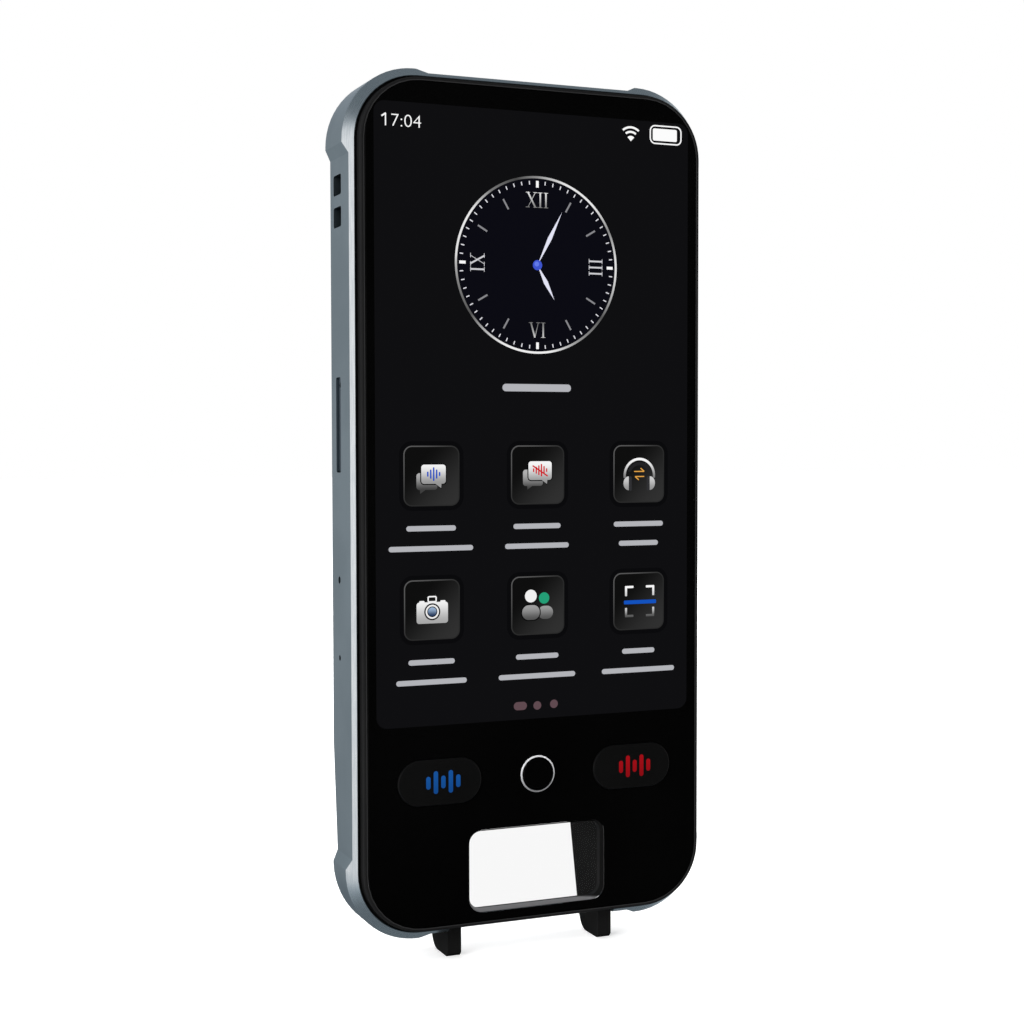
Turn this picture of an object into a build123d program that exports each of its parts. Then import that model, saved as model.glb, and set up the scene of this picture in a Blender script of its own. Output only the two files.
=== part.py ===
from build123d import *

import math
import os

# Handheld translator, modelled upright: +Z runs up the device, its screen looks towards -Y, and the
# card tray is on its -X side. Z = 0 is the tip of the two feet, X = 0 its middle, Y = 0 half its
# thickness. Inside this file a "depth" is measured backwards from the front glass, and a "height"
# upwards from the lower edge of the black face. All sizes are millimetres.

# Display and black face
ACTIVE_WIDTH = 62.2  # lit area of a 5 inch 16:9 panel
ACTIVE_HEIGHT = 110.6
SIDE_MARGIN = 2.3  # black border beside the lit area
TOP_MARGIN = 4.3
CHIN = 37.1  # black border below the lit area, with the keys and the scan window
FACE_CORNER = 11.2
BODY_DEPTH = 16.0  # front glass to flat back
FOOT_DROP = 6.2  # feet below the black face

# Front glass and the stack of the display behind it
GLASS_THICK = 0.8
GLASS_BEVEL = 0.2
BOND_THICK = 0.2
PANEL_THICK = 1.0
BACKLIGHT_THICK = 1.9
PANEL_MARGIN = 0.6  # panel beyond the lit area, each side
BACKLIGHT_LEDGE = 1.2  # backlight below the panel, where its lamps are
SEAT_GAP = 0.05  # between pieces that rest on each other with no glue

# Front bezel: the black ring and web that carry the glass
RIM_WIDTH = 0.6
RIM_BEVEL = 0.2
GLASS_LEDGE = 0.7  # shelf under the edge of the glass
WEB_THICK = 0.8
FLANGE_THICK = 1.1
FLANGE_REACH = 0.4
LIP_DEPTH = 2.4  # front bar below the scan window

# Aluminium mid frame
FRAME_OVERHANG = 1.3  # flat band outside the black face
FRAME_SETBACK = 2.0  # front edge of the metal behind the glass
FRAME_LIP = 0.1
FRAME_WALL = 2.0
CHAMFER_WIDTH = 0.7
CHAMFER_SLOPE = 1.29  # depth gained for each millimetre outwards
FLOOR_THICK = 1.0
BUMPER_PROUD = 0.9
BUMPER_REACH = 11.65  # full bumper, from the corner of the black face
BUMPER_RAMP = 1.95
TAPER_START = 33.0  # height below which the back slopes forward
TAPER_ANGLE = 6.1

# Rear cover
COVER_INSET = 0.4
COVER_WALL = 1.2
COVER_ROUND = 1.6
COVER_RISE = 1.9  # cover behind its seal on the rear edge of the metal
COVER_SKIRT = 1.0
GASKET_THICK = 0.2
GASKET_WIDTH = 1.0
FIT_GAP = 0.1  # fixed pieces that drop into each other

# Scan window, tunnel and feet
WINDOW_WIDTH = 27.1
WINDOW_BOTTOM = 2.35
WINDOW_TOP = 17.45
WINDOW_CORNER = 2.6
WINDOW_LEDGE = 0.4
PANE_SETBACK = 0.25
PANE_THICK = 0.8
TUNNEL_WIDTH = 27.8
TUNNEL_HEADROOM = 0.45  # ceiling above the window
RIB_THICK = 1.0
CHEEK_THICK = 2.65
FOOT_SETBACK = 3.25  # front of the feet behind the glass
FOOT_BEVEL = 0.7
HEEL_FLAT = 10.4  # depth of the heel's corner before it is rounded
HEEL_RISE = 3.0
HEEL_DEPTH = 12.0
SOLE_DEPTH = 13.0  # depth of the runner at the lower edge of the face
SOLE_HEIGHT = 0.4
HEEL_ROUND = 3.0
SOLE_ROUND = 6.0
RUNNER_ROUND = 8.0
RUNNER_HEIGHT = 13.5  # height where the runner meets the flat back

# Front keys
KEY_WIDTH = 16.0
KEY_HEIGHT = 8.3
KEY_SPREAD = 19.2  # from the middle to each long key
KEY_ROW = 26.9  # height of the row of keys
KEY_PROUD = 0.3
KEY_CROWN = 0.25
KEY_TRAVEL = 0.3
KEY_GAP = 0.1
KEY_FLANGE = 0.6
KEY_FLANGE_THICK = 1.0
BAR_WIDTH = 0.85
BAR_PITCH = 1.43
BAR_SHIFT = 0.6  # middle of the bars to the right of the middle of their key
BAR_SHORT = 2.3
BAR_LONG = 4.1
BAR_DEPTH = 0.6
BAR_COUNT = 5
HOME_RING_RADIUS = 3.4
HOME_RING_WIDTH = 0.45
KEY_BOARD_THICK = 0.5
KEY_BOARD_MARGIN = 2.0
DOME_RADIUS = 1.6
SWITCH_GAP = 0.05

# Openings in the left side, all centred on one line
PORT_SETBACK = 4.2  # that line ahead of the rear edge of the metal
STRAP_SLOT_DEPTH = 4.5
STRAP_SLOT_HEIGHT = 3.6
STRAP_BAR = 2.1
STRAP_DROP = 21.2  # middle of the strap bar below the top of the face
SLOT_CORNER = 0.5
STRAP_ROOM = 2.6
STRAP_CUP_WALL = 0.8
RESET_HEIGHT = 63.0
RESET_RADIUS = 0.65
MIC_HEIGHT = 48.9
MIC_RADIUS = 0.5

# Card tray
TRAY_HEIGHT = 90.9  # middle of the tray
TRAY_LENGTH = 16.9
TRAY_WIDTH = 2.6
TRAY_GAP = 0.08
TRAY_RECESS = 0.4
TRAY_HEAD = 1.6
TRAY_REACH = 14.0
TRAY_FRAME = 14.2
TRAY_THICK = 1.0
TRAY_PIN_RADIUS = 0.5
CARD_LONG = 12.3  # nano card
CARD_SHORT = 8.8
CARD_THICK = 0.67
SOCKET_WALL = 0.5
SOCKET_SIDE = 0.8

# Keys on the right side
SIDE_KEY_WIDTH = 3.0
SIDE_KEY_PROUD = 0.5
SIDE_KEY_TRAVEL = 0.3
SIDE_KEY_GAP = 0.12
SIDE_FLANGE = 0.7
SIDE_FLANGE_THICK = 0.8
ROCKER_GAP = 0.4  # lets the ends of the volume key swing outwards
ROCKER_PAD = 1.5  # half length of the pad that it rocks on
POWER_LENGTH = 11.0
POWER_DROP = 36.0  # middle of the power key below the top of the face
VOLUME_LENGTH = 21.0
VOLUME_DROP = 58.0
SIDE_BOARD_THICK = 0.6
SIDE_DOME_THICK = 0.4
SIDE_DOME = 1.5

# Main board and battery bay
BOARD_SETBACK = 1.35  # back of the board ahead of the line of the side openings
BOARD_THICK = 1.0
BOARD_EDGE = 1.5  # board inside the frame wall
STRIP_WIDTH = 15.8  # board beside the battery
TOP_BAND = 36.0  # board above the battery
BOSS_RADIUS = 1.9
SCREW_RADIUS = 0.7
SCREW_HEAD_RADIUS = 1.4
SCREW_HEAD_THICK = 0.7
SCREW_FLOOR = 0.4  # metal of a boss under the end of its screw hole
SCREW_SOCKET_SIDES = 6
THREAD_GAP = 0.05
BATTERY_THICK = 6.0
BATTERY_GAP = 1.0
BATTERY_CORNER = 1.5
FLEX_WIDTH = 7.0
FLEX_THICK = 0.3
CAN_HEIGHT = 1.8
CAN_WALL = 0.25
CAN_STRIP_WIDTH = 7.5  # shield on the strip beside the battery

# Port on the top
USB_WIDTH = 8.94
USB_HEIGHT = 3.26
USB_WALL = 0.3
USB_LENGTH = 7.4
USB_RECESS = 0.3
TONGUE_WIDTH = 6.7
TONGUE_THICK = 0.7
TONGUE_LENGTH = 5.0

# Rear camera and lamp
CAMERA_SIDE = 19.0  # from the middle
CAMERA_DROP = 16.0  # below the top of the face
CAMERA_BODY = 8.6
CAMERA_BODY_THICK = 4.2
CAMERA_BARREL = 3.1
TRIM_RADIUS = 5.6
TRIM_HOLE = 4.3
TRIM_PROUD = 0.3
LENS_THICK = 0.7
LENS_SETBACK = 0.2
FLASH_DROP = 12.0  # below the camera
FLASH_RADIUS = 1.7
FLASH_THICK = 1.4

# Speaker and motor beside the scan tunnel
SPEAKER_WIDTH = 13.0
SPEAKER_HEIGHT = 20.0
SPEAKER_THICK = 5.0
GRILLE_SLOTS = 5
GRILLE_PITCH = 2.2
GRILLE_SLOT = 1.0
GRILLE_LENGTH = 9.0
MESH_THICK = 0.3
MOTOR_RADIUS = 5.0
MOTOR_THICK = 3.2

# Scan camera inside the tunnel's ceiling
SCAN_PANE_WIDTH = 20.0
SCAN_PANE_DEPTH = 5.4
SCAN_PANE_THICK = 0.8
SCAN_PANE_SETBACK = 3.0  # behind the floor of the frame
SCAN_PANE_FLANGE = 1.0
SCAN_CAMERA = 6.0
SCAN_CAMERA_HEIGHT = 4.0
SCAN_LED = 2.2
SCAN_LED_SPREAD = 7.0
SCAN_BOARD_THICK = 0.8
SCAN_BOARD_DROP = 4.0  # below the top of the housing
TAB_WIDTH = 8.0
TAB_HEIGHT = 4.6
TAB_THICK = 1.2

# Sizes that follow
FACE_WIDTH = ACTIVE_WIDTH + 2 * SIDE_MARGIN
FACE_HEIGHT = CHIN + ACTIVE_HEIGHT + TOP_MARGIN
FRONT = -BODY_DEPTH / 2
FLOOR_DEPTH = GLASS_THICK + BOND_THICK + PANEL_THICK + BACKLIGHT_THICK + SEAT_GAP
FLOOR_BACK = FLOOR_DEPTH + FLOOR_THICK
COVER_FRONT = BODY_DEPTH - COVER_RISE
FRAME_REAR = COVER_FRONT - GASKET_THICK
PORT_LINE = FRAME_REAR - PORT_SETBACK
BOARD_BACK = PORT_LINE - BOARD_SETBACK
BOARD_FRONT = BOARD_BACK - BOARD_THICK
SCREW_END = FLOOR_BACK + SCREW_FLOOR
COVER_INNER = BODY_DEPTH - COVER_WALL
CHEEK_OUTER = TUNNEL_WIDTH / 2 + CHEEK_THICK
TUNNEL_TOP = WINDOW_TOP + TUNNEL_HEADROOM
INNER_OFFSET = FRAME_OVERHANG - FRAME_WALL
INNER_HALF = FACE_WIDTH / 2 + INNER_OFFSET
INNER_TOP = FACE_HEIGHT + INNER_OFFSET
OUTER_HALF = FACE_WIDTH / 2 + FRAME_OVERHANG
OUTER_TOP = FACE_HEIGHT + FRAME_OVERHANG
TAPER_RATE = math.tan(math.radians(TAPER_ANGLE))
STRIP_INNER = -INNER_HALF + BOARD_EDGE + STRIP_WIDTH
BAY_BOTTOM = TAPER_START + BATTERY_GAP
BAY_TOP = INNER_TOP - TOP_BAND
STRAP_HEIGHT = FACE_HEIGHT - STRAP_DROP
POWER_HEIGHT = FACE_HEIGHT - POWER_DROP
VOLUME_HEIGHT = FACE_HEIGHT - VOLUME_DROP
CAMERA_HEIGHT = FACE_HEIGHT - CAMERA_DROP
SIDE_FLANGE_FACE = INNER_HALF - ROCKER_GAP - SIDE_FLANGE_THICK
SIDE_DOME_FACE = SIDE_FLANGE_FACE - SIDE_KEY_TRAVEL - SWITCH_GAP
KEY_UNDERSIDE = GLASS_THICK + WEB_THICK + SEAT_GAP + KEY_FLANGE_THICK
DOME_FRONT = KEY_UNDERSIDE + KEY_TRAVEL + SWITCH_GAP
KEY_BOARD_FRONT = FLOOR_DEPTH - SEAT_GAP - KEY_BOARD_THICK
CLEAR = 30.0  # how far a cutting shape runs past the body
UPRIGHT = 90.0  # turns a lying slot to stand


def slab(outline, front, back):
    """Extrude an outline drawn in X and height from one depth to another."""
    plane = Plane.XZ.offset(-(FRONT + back))
    return extrude(plane * Pos(0, FOOT_DROP) * outline, back - front)


def face_outline(offset):
    """Outline of the black face grown by an offset all round."""
    corner = FACE_CORNER + offset
    rectangle = RectangleRounded(FACE_WIDTH + 2 * offset, FACE_HEIGHT + 2 * offset, corner)
    return Pos(0, FACE_HEIGHT / 2) * rectangle


def block(x_low, x_high, height_low, height_high, front, back):
    """Box between two X values, two heights and two depths."""
    size = (x_high - x_low, back - front, height_high - height_low)
    corner = (x_low, FRONT + front, FOOT_DROP + height_low)
    return Pos(*corner) * Box(*size, align=(Align.MIN, Align.MIN, Align.MIN))


def post(x, height, radius, front, back):
    """Cylinder along Y between two depths."""
    return slab(Pos(x, height) * Circle(radius), front, back)


def side_profile(points, x_low, x_high):
    """Extrude an outline of (depth, height) points from one X value to another."""
    placed = [(FRONT + depth, FOOT_DROP + height) for depth, height in points]
    outline = make_face(Polyline(*placed, close=True))
    return extrude(Plane.YZ.offset(x_low) * outline, x_high - x_low)


def tapered_depth(depth, height):
    """Depth at a height of a surface that follows the slope of the back."""
    return depth - TAPER_RATE * max(0, TAPER_START - height)


def tapered_band(front, back):
    """Layer between two depths that slopes forward over the lower part of the body."""
    low = -CLEAR
    high = FACE_HEIGHT + CLEAR
    points = [
        (front, high),
        (front, TAPER_START),
        (tapered_depth(front, low), low),
        (tapered_depth(back, low), low),
        (back, TAPER_START),
        (back, high),
    ]
    return side_profile(points, -FACE_WIDTH, FACE_WIDTH)


def tapered_slab(outline, front, back):
    """Piece of a sloping layer inside an outline."""
    return slab(outline, front - CLEAR, back) & tapered_band(front, back)


def window_outline(offset):
    """Outline of the scan window grown by an offset all round."""
    width = WINDOW_WIDTH + 2 * offset
    height = WINDOW_TOP - WINDOW_BOTTOM + 2 * offset
    middle = (WINDOW_TOP + WINDOW_BOTTOM) / 2
    return Pos(0, middle) * RectangleRounded(width, height, WINDOW_CORNER + offset)


def key_outline(side, offset):
    """Capsule outline of a long key; side is -1 for blue and 1 for red."""
    width = KEY_WIDTH + 2 * offset
    height = KEY_HEIGHT + 2 * offset
    return Pos(side * KEY_SPREAD, KEY_ROW) * SlotOverall(width, height)


def home_outline(offset):
    """Round outline of the home key's ring grown by an offset."""
    return Pos(0, KEY_ROW) * Circle(HOME_RING_RADIUS + offset)


# Metal frame


def bumper_mask(side, end):
    """Corner region that a bumper fills, with its two ramps; side and end are -1 or 1."""
    out_x = FACE_WIDTH / 2 + FRAME_OVERHANG
    out_y = FACE_HEIGHT / 2 + FRAME_OVERHANG
    full_x = FACE_WIDTH / 2 - BUMPER_REACH
    full_y = FACE_HEIGHT / 2 - BUMPER_REACH
    points = [
        (out_x, full_y - BUMPER_RAMP),
        (out_x + BUMPER_PROUD, full_y),
        (out_x + CLEAR, full_y),
        (out_x + CLEAR, out_y + CLEAR),
        (full_x, out_y + CLEAR),
        (full_x, out_y + BUMPER_PROUD),
        (full_x - BUMPER_RAMP, out_y),
        (full_x - BUMPER_RAMP, full_y - BUMPER_RAMP),
    ]
    turned = [(side * x, end * y) for x, y in points]
    return Pos(0, FACE_HEIGHT / 2) * make_face(Polyline(*turned, close=True))


def frame_outline():
    """Outer outline of the metal band with its four proud corners."""
    outline = face_outline(FRAME_OVERHANG)
    proud = face_outline(FRAME_OVERHANG + BUMPER_PROUD)
    for side in (-1, 1):
        for end in (-1, 1):
            outline += proud & bumper_mask(side, end)
    return outline


def chamfer_cone():
    """Solid that opens out backwards at the slope of the front chamfer."""
    start = FRAME_OVERHANG - CHAMFER_WIDTH
    reach = CHAMFER_WIDTH + BUMPER_PROUD + FRAME_LIP
    run = reach * CHAMFER_SLOPE
    wide = face_outline(start + reach)
    near = Plane.XZ.offset(-(FRONT + FRAME_SETBACK)) * Pos(0, FOOT_DROP) * face_outline(start)
    far = Plane.XZ.offset(-(FRONT + FRAME_SETBACK + run)) * Pos(0, FOOT_DROP) * wide
    return loft([near, far], ruled=True) + slab(wide, FRAME_SETBACK + run, FRAME_REAR)


def tunnel_cut(front, top, gap):
    """Room for the scan housing between and around its cheeks."""
    half = CHEEK_OUTER + gap
    return block(-half, half, -CLEAR, top + gap, front, BODY_DEPTH + CLEAR)


def strap_slots():
    """The two openings either side of the strap bar, through the left wall."""
    slots = None
    for end in (-1, 1):
        middle = STRAP_HEIGHT + end * (STRAP_BAR + STRAP_SLOT_HEIGHT) / 2
        slot = wall_slot(-1, middle, STRAP_SLOT_HEIGHT, STRAP_SLOT_DEPTH, SLOT_CORNER)
        slots = slot if slots is None else slots + slot
    return slots


def wall_cut(side, height, outline):
    """Run an outline on the port line through the left (-1) or right (1) wall."""
    inside = INNER_HALF - FIT_GAP
    x_low = inside if side > 0 else -inside - CLEAR
    placed = Pos(FRONT + PORT_LINE, FOOT_DROP + height) * outline
    return extrude(Plane.YZ.offset(x_low) * placed, CLEAR)


def wall_slot(side, height, length, width, corner):
    """Rounded slot through a side wall."""
    return wall_cut(side, height, RectangleRounded(width, length, corner))


def wall_hole(height, radius):
    """Round hole through the left wall."""
    return wall_cut(-1, height, Circle(radius))


def usb_outline(offset):
    """Outline of the charging port in X and Y."""
    width = USB_WIDTH + 2 * offset
    height = USB_HEIGHT + 2 * offset
    middle = FRONT + BOARD_BACK + USB_HEIGHT / 2
    return Pos(0, middle) * SlotOverall(width, height)


def upright(outline, height_low, height_high):
    """Extrude an outline drawn in X and Y from one height to another."""
    return extrude(Plane.XY.offset(FOOT_DROP + height_low) * outline, height_high - height_low)


def board_screw_places():
    """Centres of the screws that hold the main board."""
    edge = BOARD_EDGE + BOSS_RADIUS
    left = -INNER_HALF + edge
    low = BAY_BOTTOM + edge
    band = BAY_TOP + edge
    high = INNER_TOP - FACE_CORNER
    beside_battery = [(left, low), (STRIP_INNER - edge, low)]
    return beside_battery + [(left, band), (-left, band), (-left, high), (left, high)]


def tab_screw_places():
    """Centres of the screws that hold the scan housing."""
    height = TAPER_START + TAB_HEIGHT / 2
    side = TAB_WIDTH / 2 + SCREW_HEAD_RADIUS
    return [(-side, height), (side, height)]


def make_mid_frame():
    """Metal band with chamfer and bumpers, and the floor between display and battery."""
    ring = slab(frame_outline(), FRAME_SETBACK, FRAME_REAR) & chamfer_cone()
    ring &= tapered_band(FRAME_SETBACK - CLEAR, FRAME_REAR)
    pocket = FRAME_OVERHANG - CHAMFER_WIDTH - FRAME_LIP
    ring -= slab(face_outline(pocket), FRAME_SETBACK - FRAME_LIP, FLOOR_DEPTH)
    ring -= slab(face_outline(INNER_OFFSET), FLOOR_BACK, FRAME_REAR + CLEAR)
    for x, height in board_screw_places():
        boss = post(x, height, BOSS_RADIUS, FLOOR_BACK, BOARD_FRONT)
        hole = post(x, height, SCREW_RADIUS + THREAD_GAP, SCREW_END, BOARD_FRONT)
        ring += boss
        ring -= hole
    for x, height in tab_screw_places():
        ring -= post(x, height, SCREW_RADIUS + THREAD_GAP, FLOOR_DEPTH - FLOOR_THICK, FLOOR_BACK)
    ring -= tunnel_cut(-CLEAR, TUNNEL_TOP, FIT_GAP)
    ring -= tunnel_cut(FLOOR_BACK, TAPER_START, FIT_GAP)
    ring -= strap_slots()
    tray_length = TRAY_LENGTH + 2 * TRAY_GAP
    ring -= wall_slot(-1, TRAY_HEIGHT, tray_length, TRAY_WIDTH + 2 * TRAY_GAP, SLOT_CORNER)
    ring -= wall_hole(RESET_HEIGHT, RESET_RADIUS)
    ring -= wall_hole(MIC_HEIGHT, MIC_RADIUS)
    for height, length in ((POWER_HEIGHT, POWER_LENGTH), (VOLUME_HEIGHT, VOLUME_LENGTH)):
        slot_width = SIDE_KEY_WIDTH + 2 * SIDE_KEY_GAP
        slot_length = length + 2 * SIDE_KEY_GAP
        ring -= wall_slot(1, height, slot_length, slot_width, slot_width / 2 - SIDE_KEY_GAP)
    ring -= upright(usb_outline(FIT_GAP), INNER_TOP - FRAME_WALL, OUTER_TOP + CLEAR)
    return ring


# Front: bezel, glass, display and window


def make_front_bezel():
    """Black ring that stands proud of the metal, with the web behind the chin."""
    body = slab(face_outline(0), 0, FLOOR_DEPTH)
    rim = body.faces().sort_by(Axis.Y)[0].edges()
    body = chamfer(rim, RIM_BEVEL)
    flange = slab(face_outline(FLANGE_REACH), FLOOR_DEPTH - FLANGE_THICK, FLOOR_DEPTH)
    body += flange
    body -= slab(face_outline(-RIM_WIDTH), -CLEAR, GLASS_THICK)
    inside = face_outline(-RIM_WIDTH - GLASS_LEDGE)
    web_back = GLASS_THICK + WEB_THICK
    body -= slab(inside, web_back, FLOOR_DEPTH + CLEAR)
    panel_low = CHIN - PANEL_MARGIN - BACKLIGHT_LEDGE - FIT_GAP
    above = block(-FACE_WIDTH, FACE_WIDTH, panel_low, FACE_HEIGHT + CLEAR, -CLEAR, FLOOR_DEPTH + CLEAR)
    body -= slab(inside, -CLEAR, FLOOR_DEPTH) & above
    body += window_frame()
    for side in (-1, 1):
        body -= slab(key_outline(side, KEY_GAP), 0, web_back)
    body -= slab(home_outline(FIT_GAP), 0, web_back)
    body -= slab(window_outline(-WINDOW_LEDGE), -CLEAR, FLOOR_DEPTH)
    body -= slab(window_outline(0), -CLEAR, PANE_SETBACK + PANE_THICK)
    half = TUNNEL_WIDTH / 2
    body -= block(-half, half, -CLEAR, TUNNEL_TOP, LIP_DEPTH, FLOOR_DEPTH + CLEAR)
    outer = CHEEK_OUTER + FIT_GAP
    body -= block(-outer, outer, -CLEAR, TUNNEL_TOP, FOOT_SETBACK - FIT_GAP, FLOOR_DEPTH + CLEAR)
    return body


def window_frame():
    """Thicker surround of the scan window behind the glass, with a rib that closes the tunnel's top."""
    outer = Pos(0, WINDOW_TOP / 2) * Rectangle(TUNNEL_WIDTH, WINDOW_TOP + 2 * TUNNEL_HEADROOM)
    surround = slab(outer, GLASS_THICK, LIP_DEPTH) & slab(face_outline(0), 0, LIP_DEPTH)
    half = CHEEK_OUTER
    rib_top = TUNNEL_TOP + RIB_THICK
    return surround + block(-half, half, TUNNEL_TOP, rib_top, GLASS_THICK, FLOOR_DEPTH - SEAT_GAP)


def make_cover_glass():
    """Black-printed glass over the display and chin, with openings for keys and window."""
    glass = slab(face_outline(-RIM_WIDTH - SEAT_GAP), 0, GLASS_THICK)
    edge = glass.faces().sort_by(Axis.Y)[0].edges()
    glass = chamfer(edge, GLASS_BEVEL)
    for side in (-1, 1):
        glass -= slab(key_outline(side, KEY_GAP), -CLEAR, GLASS_THICK + CLEAR)
    glass -= slab(home_outline(SEAT_GAP), -CLEAR, GLASS_THICK + CLEAR)
    glass -= slab(window_outline(SEAT_GAP), -CLEAR, GLASS_THICK + CLEAR)
    return glass


def make_scan_window():
    """Clear pane to read the scanned line through."""
    return slab(window_outline(-SEAT_GAP), PANE_SETBACK, PANE_SETBACK + PANE_THICK)


def panel_outline(ledge):
    """Outline of the display behind the lit area, with a ledge below it."""
    width = ACTIVE_WIDTH + 2 * PANEL_MARGIN
    height = ACTIVE_HEIGHT + 2 * PANEL_MARGIN + ledge
    middle = CHIN + ACTIVE_HEIGHT / 2 - ledge / 2
    return Pos(0, middle) * RectangleRounded(width, height, FACE_CORNER - 2 * SIDE_MARGIN)


def make_display_adhesive():
    """Optical bond between the glass and the display panel."""
    return slab(panel_outline(0), GLASS_THICK, GLASS_THICK + BOND_THICK)


def make_display_panel():
    """Liquid crystal panel."""
    front = GLASS_THICK + BOND_THICK
    return slab(panel_outline(0), front, front + PANEL_THICK)


def make_backlight():
    """Backlight that fills the space between the panel and the frame's floor."""
    front = GLASS_THICK + BOND_THICK + PANEL_THICK
    return slab(panel_outline(BACKLIGHT_LEDGE), front, front + BACKLIGHT_THICK)


# Front keys


def bar_heights():
    """Heights of the light bars of one key, short and long in turn."""
    return [BAR_LONG if index % 2 else BAR_SHORT for index in range(BAR_COUNT)]


def key_bars(side, front, back):
    """Rounded bars in the middle of a long key."""
    bars = []
    for index, height in enumerate(bar_heights()):
        x = side * KEY_SPREAD + BAR_SHIFT + (index - (BAR_COUNT - 1) / 2) * BAR_PITCH
        outline = SlotOverall(height, BAR_WIDTH, rotation=UPRIGHT)
        bars.append(slab(Pos(x, KEY_ROW) * outline, front, back))
    return bars


def make_long_key(side):
    """Capsule key with a crowned cap, a flange behind the web and room for its light bars."""
    cap = slab(key_outline(side, 0), -KEY_PROUD, KEY_UNDERSIDE)
    front_edge = cap.faces().sort_by(Axis.Y)[0].edges()
    cap = fillet(front_edge, KEY_CROWN)
    flange = slab(key_outline(side, KEY_FLANGE), KEY_UNDERSIDE - KEY_FLANGE_THICK, KEY_UNDERSIDE)
    cap += flange
    for bar in key_bars(side, -KEY_PROUD - CLEAR, BAR_DEPTH):
        cap -= bar
    return cap


def make_light_bars(side):
    """Coloured light bars, flush with the face of their key."""
    return Compound(children=key_bars(side, -KEY_PROUD, BAR_DEPTH))


def make_home_ring():
    """Bright ring round the home key, pressed into the glass."""
    ring = slab(home_outline(0), -KEY_PROUD / 2, GLASS_THICK + WEB_THICK)
    inner = slab(home_outline(-HOME_RING_WIDTH), -CLEAR, GLASS_THICK + WEB_THICK + CLEAR)
    edge = ring.faces().sort_by(Axis.Y)[0].edges()
    ring = fillet(edge, KEY_PROUD / 2)
    return ring - inner


def make_home_key():
    """Round key inside the bright ring."""
    cap = slab(home_outline(-HOME_RING_WIDTH - KEY_GAP), 0, KEY_UNDERSIDE)
    edge = cap.faces().sort_by(Axis.Y)[0].edges()
    cap = fillet(edge, KEY_CROWN)
    flange_front = KEY_UNDERSIDE - KEY_FLANGE_THICK
    return cap + slab(home_outline(KEY_FLANGE / 2), flange_front, KEY_UNDERSIDE)


def make_key_board():
    """Circuit board behind the row of keys."""
    width = 2 * KEY_SPREAD + KEY_WIDTH
    height = KEY_HEIGHT + KEY_BOARD_MARGIN
    outline = Pos(0, KEY_ROW) * RectangleRounded(width, height, KEY_BOARD_MARGIN)
    return slab(outline, KEY_BOARD_FRONT, FLOOR_DEPTH - SEAT_GAP)


def make_key_domes():
    """Snap domes under the three front keys."""
    domes = []
    for x in (-KEY_SPREAD, 0, KEY_SPREAD):
        domes.append(post(x, KEY_ROW, DOME_RADIUS, DOME_FRONT, KEY_BOARD_FRONT))
    return Compound(children=domes)


# Rear cover


def make_rear_cover():
    """Back shell with a rounded edge, a skirt inside the frame and a notch for the scan housing."""
    offset = FRAME_OVERHANG - COVER_INSET
    shell = tapered_slab(face_outline(offset), COVER_FRONT, BODY_DEPTH)
    shell = fillet(back_edges(shell), COVER_ROUND)
    inner = INNER_OFFSET - FIT_GAP
    skirt = tapered_slab(face_outline(inner), COVER_FRONT - COVER_SKIRT, COVER_FRONT)
    shell += skirt
    shell -= tapered_slab(face_outline(inner - COVER_WALL), COVER_FRONT - 2 * COVER_SKIRT, COVER_INNER)
    shell -= tunnel_cut(-CLEAR, TAPER_START, FIT_GAP)
    for height, radius in ((CAMERA_HEIGHT, TRIM_RADIUS), (CAMERA_HEIGHT - FLASH_DROP, FLASH_RADIUS)):
        shell -= post(CAMERA_SIDE, height, radius + SEAT_GAP, FRAME_REAR, BODY_DEPTH + CLEAR)
    for slot in grille_slots():
        shell -= slot
    return shell


def back_edges(shell):
    """Edges round the back of the cover, without the crease where the slope starts."""
    steepest = math.cos(math.radians(2 * TAPER_ANGLE))
    backs = shell.faces().filter_by(lambda face: face.normal_at().Y > steepest)
    crease = FOOT_DROP + TAPER_START
    edges = []
    for face in backs:
        for edge in face.edges():
            box = edge.bounding_box()
            on_crease = abs(box.min.Z - crease) < FIT_GAP and abs(box.max.Z - crease) < FIT_GAP
            if not on_crease:
                edges.append(edge)
    return edges


def speaker_middle():
    """Centre of the speaker, in the space left of the scan housing."""
    x = -(CHEEK_OUTER + INNER_HALF) / 2
    height = TAPER_START - SPEAKER_HEIGHT / 2 - BATTERY_GAP
    return x, height


def grille_slots():
    """Slots through the cover behind the speaker."""
    x, height = speaker_middle()
    slots = []
    for index in range(GRILLE_SLOTS):
        level = height + (index - (GRILLE_SLOTS - 1) / 2) * GRILLE_PITCH
        outline = Pos(x, level) * SlotOverall(GRILLE_LENGTH, GRILLE_SLOT)
        slots.append(slab(outline, FLOOR_BACK + SPEAKER_THICK, BODY_DEPTH + CLEAR))
    return slots


def make_speaker_mesh():
    """Fine mesh behind the speaker slots, glued inside the cover."""
    x, height = speaker_middle()
    width = GRILLE_LENGTH + GRILLE_SLOT
    tall = GRILLE_SLOTS * GRILLE_PITCH
    outline = Pos(x, height) * Rectangle(width, tall)
    return tapered_slab(outline, COVER_INNER - MESH_THICK, COVER_INNER)


def make_cover_gasket():
    """Thin seal between the frame's rear edge and the cover."""
    outer = face_outline(FRAME_OVERHANG - COVER_INSET)
    inner = face_outline(FRAME_OVERHANG - COVER_INSET - GASKET_WIDTH)
    ring = tapered_slab(outer - inner, FRAME_REAR, COVER_FRONT)
    return ring - tunnel_cut(-CLEAR, TAPER_START, FIT_GAP)


# Scan housing and what it holds


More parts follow.
